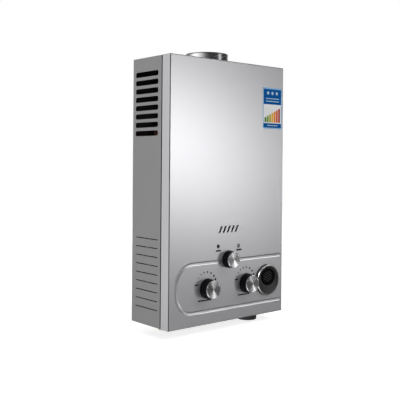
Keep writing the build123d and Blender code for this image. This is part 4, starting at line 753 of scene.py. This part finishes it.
def lattice_wave(tree):
    """The sine of the height, counted in pitches, in a frame turned round the display's axis."""
    place = own_place(tree)
    turned = add(tree, "ShaderNodeMapping", {"Vector": place, "Rotation": LATTICE_TURN}).outputs["Vector"]
    height = add(tree, "ShaderNodeSeparateXYZ", {0: turned}).outputs["Z"]
    return maths(tree, "SINE", maths(tree, "MULTIPLY", height, 2 * math.pi / LATTICE_PITCH))


def window_finish():
    """Black glass inside a printed grey border, with bars in its middle, just lighter than black."""
    material, tree, shader = start_finish(
        "window_black_glass", (0.004, 0.004, 0.005), metallic=0.0, roughness=0.16,
        Specular_IOR_Level=0.03,
    )
    square = oval_square(tree)
    bars = maths(tree, "MULTIPLY", lattice_wave(tree), ramp(tree, square, LATTICE_END, LATTICE_FULL))
    level = spread(tree, bars, GLASS_LEVEL, LATTICE_LEVEL, WAVE_FROM, WAVE_FULL)
    level = mixed(tree, ramp(tree, square, BORDER_FROM, BORDER_FULL), level, BORDER_LEVEL)
    shade(tree, shader, GLASS_TINT, level)
    tree.links.new(grain(tree, GLASS_SCALE, GLASS_SMOOTH, GLASS_DULL), shader.inputs["Roughness"])
    return material


FINISHES["display_window"] = window_finish()
print("display window: bars every", LATTICE_PITCH)

# %% [markdown]
# Inside sit the working parts. Copper is drawn and then soldered, so it carries brown clouds. Brass
# and aluminium are cast or turned, and plated steel has a grey bloom. They are hidden by the cover,
# but show through the vents and when it is taken off, so each gets its own grain and not one grey
# for all.

# %% Finishes of the works
WORKED_METALS = {
    "copper": dict(
        name="drawn_copper", colour=(0.46, 0.23, 0.15), roughness=0.38,
        scale=120.0, contrast=0.18, depth=0.02 * MM,
    ),
    "brass": dict(
        name="turned_brass", colour=(0.46, 0.39, 0.27), roughness=0.32,
        scale=500.0, stretch=(1.0, 1.0, 4.0), contrast=0.1, depth=0.01 * MM,
    ),
    "cast_aluminium": dict(
        name="cast_aluminium", colour=(0.58, 0.58, 0.57), roughness=0.46,
        scale=700.0, contrast=0.12, depth=0.05 * MM,
    ),
    "zinc_steel": dict(
        name="zinc_plated_steel", colour=(0.56, 0.57, 0.58), roughness=0.36,
        scale=160.0, contrast=0.14, depth=0.01 * MM,
    ),
    "sensor_steel": dict(
        name="sensor_steel", colour=(0.5, 0.5, 0.5), roughness=0.3,
        scale=600.0, stretch=(1.0, 1.0, 3.0), contrast=0.08, depth=0.006 * MM,
    ),
}
MOULDED_THINGS = {
    "rubber": dict(
        name="black_rubber", colour=(0.025, 0.024, 0.024), roughness=0.7,
        scale=1200.0, contrast=0.25, depth=0.03 * MM,
    ),
    "inner_plastic": dict(
        name="inner_grey_plastic", colour=(0.1, 0.1, 0.105), roughness=0.48,
        scale=1600.0, contrast=0.18, depth=0.015 * MM,
    ),
    "ceramic": dict(
        name="glazed_ceramic", colour=(0.78, 0.75, 0.69), roughness=0.2,
        scale=900.0, contrast=0.05, depth=0.006 * MM, Coat_Weight=0.5,
    ),
}
FINISHES.update({slot: worked_metal(**values) for slot, values in WORKED_METALS.items()})
FINISHES.update({slot: moulded(**values) for slot, values in MOULDED_THINGS.items()})
print("works:", list(WORKED_METALS), list(MOULDED_THINGS))

# %% [markdown]
# Two finishes change with the height. The burner bars take on the straw and blue of heat at their
# upper edges, and the battery cells have a jacket in two colours. Bands could be cut into the
# meshes, but a row of colours along the height needs no cut, and a little noise keeps the heat's
# line from being ruled.

# %% Finishes that follow the height
LINE_SCALE, LINE_REACH = 90.0, 2.0 * MM
SCUFF_SCALE, SCUFF_SHARE = 300.0, 0.2
PITTED_SCALE, PITTED_DEPTH = 500.0, 0.01 * MM
BURNER_LOW, BURNER_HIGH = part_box("burner_bars")
CELL_LOW, CELL_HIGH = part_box("battery_cells")
HEAT_TINTS = [
    (0.0, (0.5, 0.49, 0.47)),
    (0.7, (0.48, 0.42, 0.3)),
    (0.87, (0.4, 0.24, 0.16)),
    (1.0, (0.2, 0.2, 0.3)),
]
CELL_COLOURS = [
    (0.0, (0.04, 0.05, 0.06)),
    (0.62, (0.05, 0.06, 0.07)),
    (0.66, (0.5, 0.5, 0.48)),
    (1.0, (0.55, 0.55, 0.52)),
]


def colour_row(tree, share, stops):
    """Colours along a share from 0 to 1, each stop a place and its colour."""
    row = add(tree, "ShaderNodeValToRGB", {"Fac": share})
    points = row.color_ramp.elements
    while len(points) < len(stops):
        points.new(0.5)
    for point, (spot, colour) in zip(points, stops):
        point.position = spot
        point.color = (*colour, 1.0)
    return row.outputs["Color"]


def along_height(name, low, high, stops, metallic, roughness):
    """A finish whose colour follows the height between two levels, through a row of colour stops."""
    material, tree, shader = start_finish(name, stops[0][1], metallic, roughness)
    wavy = maths(tree, "ADD", spot_axes(tree)["Z"], grain(tree, LINE_SCALE, -LINE_REACH, LINE_REACH))
    share = spread(tree, wavy, 0.0, 1.0, low, high)
    tree.links.new(colour_row(tree, share, stops), shader.inputs["Base Color"])
    tree.links.new(swing(tree, SCUFF_SCALE, roughness, SCUFF_SHARE), shader.inputs["Roughness"])
    relief(tree, shader, grain(tree, PITTED_SCALE, 0.0, 1.0), PITTED_DEPTH)
    return material


FINISHES["burner_steel"] = along_height(
    "heat_tinted_steel", BURNER_LOW.z, BURNER_HIGH.z, HEAT_TINTS, metallic=1.0, roughness=0.38
)
FINISHES["cell_jacket"] = along_height(
    "cell_jacket", CELL_LOW.z, CELL_HIGH.z, CELL_COLOURS, metallic=0.3, roughness=0.3
)
print("heat tints:", len(HEAT_TINTS), "cell colours:", len(CELL_COLOURS))

# %% [markdown]
# The display's board is green lacquer over copper runs. The runs could be drawn one by one, but the
# board sits behind the black window, so square cells of noise stand for them.

# %% Finish of the board
BOARD_COLOUR = (0.03, 0.12, 0.06)
RUN_SCALE, RUN_FROM, RUN_FULL = 350.0, 0.25, 0.3
RUN_DARK, RUN_LIGHT = 0.8, 1.7
RUN_DEPTH = 0.02 * MM


def board_finish():
    """A green board: square cells of noise, cut sharp, are its copper runs under the lacquer."""
    material, tree, shader = start_finish(
        "lacquered_board", BOARD_COLOUR, metallic=0.0, roughness=0.35, Coat_Weight=0.3
    )
    runs = add(
        tree, "ShaderNodeTexVoronoi", {"Vector": own_place(tree), "Scale": RUN_SCALE},
        distance="CHEBYCHEV",
    ).outputs["Distance"]
    shade(tree, shader, BOARD_COLOUR, spread(tree, runs, RUN_DARK, RUN_LIGHT, RUN_FROM, RUN_FULL))
    relief(tree, shader, runs, RUN_DEPTH)
    return material


FINISHES["circuit_board"] = board_finish()
print("finishes:", len(FINISHES))

# %% [markdown]
# The solids could be dressed one by one, but each carries the name of its finish, so a short loop
# hands it the material made for it. The three knob faces take their own, since each has its own
# centre, and so does the shell, which has painted shade on its inner side.

# %% Dress the solids
OWN_FINISH = {**KNOB_FACES, "rear_shell": SHADED_SHELL_FINISH}
for node_name, solid in NODES.items():
    carried = solid.material_slots[0].material.name
    solid.material_slots[0].material = OWN_FINISH.get(node_name) or FINISHES[carried]
print("dressed:", len(NODES))

# %% [markdown]
# Print on the front stands a few hundredths of a millimetre proud. It could be a mask in the
# sheet's finish, but ink is a thing of its own, so each mark is a flat pad with a soft edge, whose
# foot is sunk in the sheet. One outline serves for all, a rectangle with round corners: with
# corners as large as its half sides it is a disc.

# %% Helpers for print
INK_LIFT, INK_SINK = 0.05 * MM, 0.1 * MM
OUTLINE_POINTS = 40
FACE_SHARE, EDGE_LIFT_SHARE = 0.97, 0.5


def from_centre(x, z, rows):
    """Rows of x, z, half width, half height and corner, from a centre, turned from mm into metres."""
    return np.array([x, z, 0.0, 0.0, 0.0]) + np.asarray(rows, float) * MM


def pads(spots, lift=INK_LIFT):
    """Round-cornered pads on the front. Each row of spots is x, z, half width, half height and corner.
    Outline: half side less corner, with the sign of cosine or sine, plus corner times cosine or sine.
    Rings of it at shares 0, nearly 1 and 1 are the face, and two more behind the sheet's surface
    close the back."""
    turn = (np.arange(OUTLINE_POINTS) + 0.5) * 2 * np.pi / OUTLINE_POINTS
    x, z, wide, tall, corner = np.asarray(spots, float).T[:, :, None]
    across = (wide - corner) * np.sign(np.cos(turn)) + corner * np.cos(turn)
    upward = (tall - corner) * np.sign(np.sin(turn)) + corner * np.sin(turn)
    share = np.array([0.0, FACE_SHARE, 1.0, 1.0, 0.0])[None, :, None]
    out = np.array([lift, lift, lift * EDGE_LIFT_SHARE, -INK_SINK, -INK_SINK])[None, :, None]
    flat_x = x[:, None, :] + share * across[:, None, :]
    flat_z = z[:, None, :] + share * upward[:, None, :]
    return np.stack([flat_x, np.broadcast_to(FRONT_Y - out, flat_x.shape), flat_z], axis=-1)


print("print helpers ready")

# %% [markdown]
# The dial marks are screen printed: a short dash at the off end, then dots that grow towards full,
# and a rule below. Over the middle knob are a filled dot and a ring, each with a dash. The dots
# could be placed one by one, but they lie on an arc, so a row of angles is enough. All rows are in
# millimetres from the knob's centre, as on a printer's film. The ring is an oval section carried
# round a circle.

# %% Print the dial marks
DOT_ANGLES = np.radians([-72.0, -52.0, -33.0, -14.0, 6.0, 28.0, 50.0, 69.0])
DOT_ARC_X, DOT_ARC_Z, DOT_ARC_R = -2.9, 7.8, 28.8
DOT_SMALL_R, DOT_LARGE_R = 1.2, 2.7
DIAL_DASH = [-31.5, 10.5, 5.4, 1.5, 1.2]
DIAL_RULE = [-8.0, -25.5, 19.0, 1.5, 1.2]
SEASON_MARKS = [
    [-31.8, 30.9, 4.5, 4.5, 4.5],
    [-31.2, 20.9, 7.6, 1.9, 1.2],
    [32.5, 18.9, 8.6, 1.9, 1.2],
]
OPEN_X, OPEN_Z = 30.9 * MM, 28.0 * MM
OPEN_R, OPEN_HALF_WIDE = 3.1 * MM, 1.4 * MM
OPEN_AROUND, OPEN_ACROSS = 40, 10
DIAL_INK = moulded(
    "dial_ink", colour=(0.006, 0.006, 0.007), roughness=0.75,
    scale=900.0, contrast=0.25, depth=0.01 * MM, Specular_IOR_Level=0.2,
)


def dial_rows():
    """Dots on an arc, growing clockwise, then the dash at their start and the rule under the knob."""
    radius = np.linspace(DOT_SMALL_R, DOT_LARGE_R, len(DOT_ANGLES))
    across = DOT_ARC_X + DOT_ARC_R * np.sin(DOT_ANGLES)
    upward = DOT_ARC_Z + DOT_ARC_R * np.cos(DOT_ANGLES)
    dots = np.stack([across, upward, radius, radius, radius], axis=-1)
    return np.vstack([dots, DIAL_DASH, DIAL_RULE])


def open_ring():
    """The printed ring: its section's width lies in the sheet, and its height is the lift of the ink."""
    across, upward, out = oval_ring(OPEN_R, OPEN_HALF_WIDE, INK_LIFT, OPEN_AROUND, OPEN_ACROSS)
    centre_x = SEASON_KNOB.x + OPEN_X
    centre_z = SEASON_KNOB.z + OPEN_Z
    return np.stack([centre_x + across, FRONT_Y - out, centre_z + upward], axis=-1)[None]


DIAL_SPOTS = np.vstack([
    from_centre(FLAME_KNOB.x, FLAME_KNOB.z, dial_rows()),
    from_centre(WATER_KNOB.x, WATER_KNOB.z, dial_rows()),
    from_centre(SEASON_KNOB.x, SEASON_KNOB.z, SEASON_MARKS),
])
place_piece("dial_marks", grid_mesh("dial_marks", pads(DIAL_SPOTS)), DIAL_INK, "casing")
place_piece("open_mark", grid_mesh("open_mark", open_ring(), ring_rows=True), DIAL_INK, "casing")

# %% [markdown]
# A blue and white sticker sits near the upper right corner. One picture could cover it, but it is
# drawn as layers of print, as a printer would: a pale sheet, a white field, blue panels, then a row
# of upright bars that grow from left to right, and pale dots and rules in the panels. Each layer's
# rows are in millimetres from its centre.

# %% Lay out the sticker
STICKER_X, STICKER_Z = 137.0 * MM, FOOT_Z + 490.0 * MM
BAR_COUNT, BAR_PITCH = 7, 7.8
BAR_HALF_WIDE, BAR_CORNER = 3.1, 0.5
BAR_SHORT, BAR_LONG = 6.0, 17.0
BAR_FOOT = -34.0


def bar_rows():
    """Evenly spaced upright bars that stand on one line, with half heights growing from left to right."""
    step = np.arange(BAR_COUNT) - (BAR_COUNT - 1) / 2
    tall = np.linspace(BAR_SHORT, BAR_LONG, BAR_COUNT)
    wide = np.full(BAR_COUNT, BAR_HALF_WIDE)
    corner = np.full(BAR_COUNT, BAR_CORNER)
    return np.stack([step * BAR_PITCH, BAR_FOOT + tall, wide, tall, corner], axis=-1)


STICKER_ROWS = {
    "sheet": [[0.0, 0.0, 32.5, 49.2, 1.5]],
    "field": [[0.0, -13.5, 30.0, 22.6, 0.5]],
    "panel": [[0.0, 27.3, 30.0, 18.2, 0.8], [0.0, -41.3, 30.0, 5.2, 0.8]],
    "bars": bar_rows(),
    "marks": [
        [-15.0, 36.0, 4.0, 4.0, 4.0], [0.0, 36.0, 4.0, 4.0, 4.0], [15.0, 36.0, 4.0, 4.0, 4.0],
        [0.0, 23.0, 23.0, 1.0, 0.9], [0.0, 16.5, 23.0, 1.0, 0.9], [0.0, -41.3, 18.0, 1.0, 0.9],
    ],
}
print("sticker layers:", {name: len(rows) for name, rows in STICKER_ROWS.items()})

# %% [markdown]
# Satin ink on film has a fine speckle, and little gloss, so that its colour stays deep. The bars go
# from green to red. Seven inks could do that, but one finish reads its colour from the place across
# the sticker.

# %% Print the sticker
LAYER = 0.04 * MM
INK_ROUGHNESS, INK_GLOSS = 0.6, 0.05
BAR_SATIN_SCALE, BAR_SATIN_LOW, BAR_SATIN_HIGH = 300.0, 0.55, 0.65
BAR_COLOURS = [
    (0.01, 0.13, 0.02), (0.2, 0.34, 0.01), (0.8, 0.42, 0.005), (0.7, 0.1, 0.004), (0.3, 0.004, 0.006),
]


def printed(name, colour):
    """Satin ink of one colour."""
    return moulded(
        name, colour, INK_ROUGHNESS, scale=700.0, contrast=0.05, depth=0.003 * MM,
        Specular_IOR_Level=INK_GLOSS,
    )


def bar_finish():
    """Ink whose colour goes with X across the sticker, through a row of colour stops."""
    material, tree, shader = start_finish(
        "sticker_graded_bars", BAR_COLOURS[0], 0.0, INK_ROUGHNESS, Specular_IOR_Level=INK_GLOSS
    )
    reach = BAR_PITCH * MM * BAR_COUNT / 2
    share = spread(tree, spot_axes(tree)["X"], 0.0, 1.0, STICKER_X - reach, STICKER_X + reach)
    stops = [(index / (len(BAR_COLOURS) - 1), colour) for index, colour in enumerate(BAR_COLOURS)]
    tree.links.new(colour_row(tree, share, stops), shader.inputs["Base Color"])
    satin = grain(tree, BAR_SATIN_SCALE, BAR_SATIN_LOW, BAR_SATIN_HIGH)
    tree.links.new(satin, shader.inputs["Roughness"])
    return material


STICKER_PRINT = {
    "sheet": (1, printed("sticker_pale_blue", (0.25, 0.46, 0.68))),
    "field": (2, printed("sticker_white", (0.8, 0.81, 0.81))),
    "panel": (2, printed("sticker_blue", (0.001, 0.085, 0.31))),
    "bars": (3, bar_finish()),
    "marks": (3, printed("sticker_pale_ink", (0.42, 0.56, 0.68))),
}
for layer_name, (layer_level, layer_ink) in STICKER_PRINT.items():
    layer_spots = from_centre(STICKER_X, STICKER_Z, STICKER_ROWS[layer_name])
    layer_mesh = grid_mesh("sticker_" + layer_name, pads(layer_spots, lift=layer_level * LAYER))
    place_piece("sticker_" + layer_name, layer_mesh, layer_ink, "casing")

# %% [markdown]
# The three pipe ends under the casing are cut with a half-inch pipe thread. A bump could hint at
# it, but a thread shows in the outline, so it is made as a shape. It is one ridge wound in a helix,
# so the radius at an angle and a height depends only on the height less the pitch's share of the
# turn. The sleeve closes on itself: up the outside, and down again inside the pipe's wall.

# %% Cut the pipe threads
PIPE_R = 10.475 * MM
THREAD_PITCH = 1.814 * MM
THREAD_PROUD, THREAD_BITE = 0.42 * MM, 0.35 * MM
THREAD_ROWS, THREAD_COLUMNS = 110, 48
THREAD_TOP, THREAD_FOOT = 4.8 * MM, 1.0 * MM
THREAD_CREASE = 60.0


def thread_sleeve(node):
    """Radius: the pipe's own, plus the ridge times half of one plus the cosine of the helix phase, with
    a short fade at both ends. Two more rows inside the wall close the sleeve."""
    centre = middle(node)
    height = np.linspace(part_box(node)[0].z + THREAD_FOOT, FOOT_Z - THREAD_TOP, THREAD_ROWS)
    turn = np.linspace(0, 2 * np.pi, THREAD_COLUMNS, endpoint=False)
    phase = 2 * np.pi * height[:, None] / THREAD_PITCH - turn[None, :]
    end = np.minimum(height - height[0], height[-1] - height) / THREAD_PITCH
    fade = np.clip(end, 0.0, 1.0)[:, None]
    ridge = PIPE_R + THREAD_PROUD * fade * (1 + np.cos(phase)) / 2
    inside = np.full((2, THREAD_COLUMNS), PIPE_R - THREAD_BITE)
    radius = np.vstack([ridge, inside])
    level = np.concatenate([height, [height[-1], height[0]]])[:, None]
    x = centre.x + radius * np.cos(turn)
    y = centre.y + radius * np.sin(turn)
    return np.stack([x, y, np.broadcast_to(level, radius.shape)], axis=-1)[None]


for pipe in ("hot_outlet", "gas_inlet", "cold_inlet"):
    sleeve = grid_mesh(pipe + "_thread", thread_sleeve(pipe), ring_rows=True, crease=THREAD_CREASE)
    place_piece(pipe + "_thread", sleeve, FINISHES["brass"], "casing")

# %% [markdown]
# The flue collar is rolled from strip, and its free edge is turned inwards so that it doesn't cut.
# The collar's own mesh stays as it is packed, so the rolled lip is a piece of its own: an oval
# section, carried round the pipe's axis. The axis comes from the record, which names the spigot as
# a place where a pipe is mounted.

# %% Roll the flue lip
LIP_HALF_WIDE, LIP_HALF_TALL = 1.2 * MM, 1.5 * MM
LIP_PROUD = 0.25 * MM
LIP_AROUND, LIP_ACROSS = 96, 16
FLUE = next(mount for mount in frame["record"]["mounts"] if mount["name"] == "flue_spigot")


def flue_lip():
    """The oval ring round the spigot's axis, a little proud of the pipe, its top at the collar's edge."""
    radius = FLUE["dims"]["r_mm"] * MM + LIP_PROUD - LIP_HALF_WIDE
    x, y, rise = oval_ring(radius, LIP_HALF_WIDE, LIP_HALF_TALL, LIP_AROUND, LIP_ACROSS)
    axis_x, axis_y = FLUE["pos_m"][:2]
    return np.stack([axis_x + x, axis_y + y, COLLAR_HIGH.z - LIP_HALF_TALL + rise], axis=-1)[None]


lip_mesh = grid_mesh("flue_lip", flue_lip(), ring_rows=True)
place_piece("flue_lip", lip_mesh, FINISHES["flue_steel"], "casing")
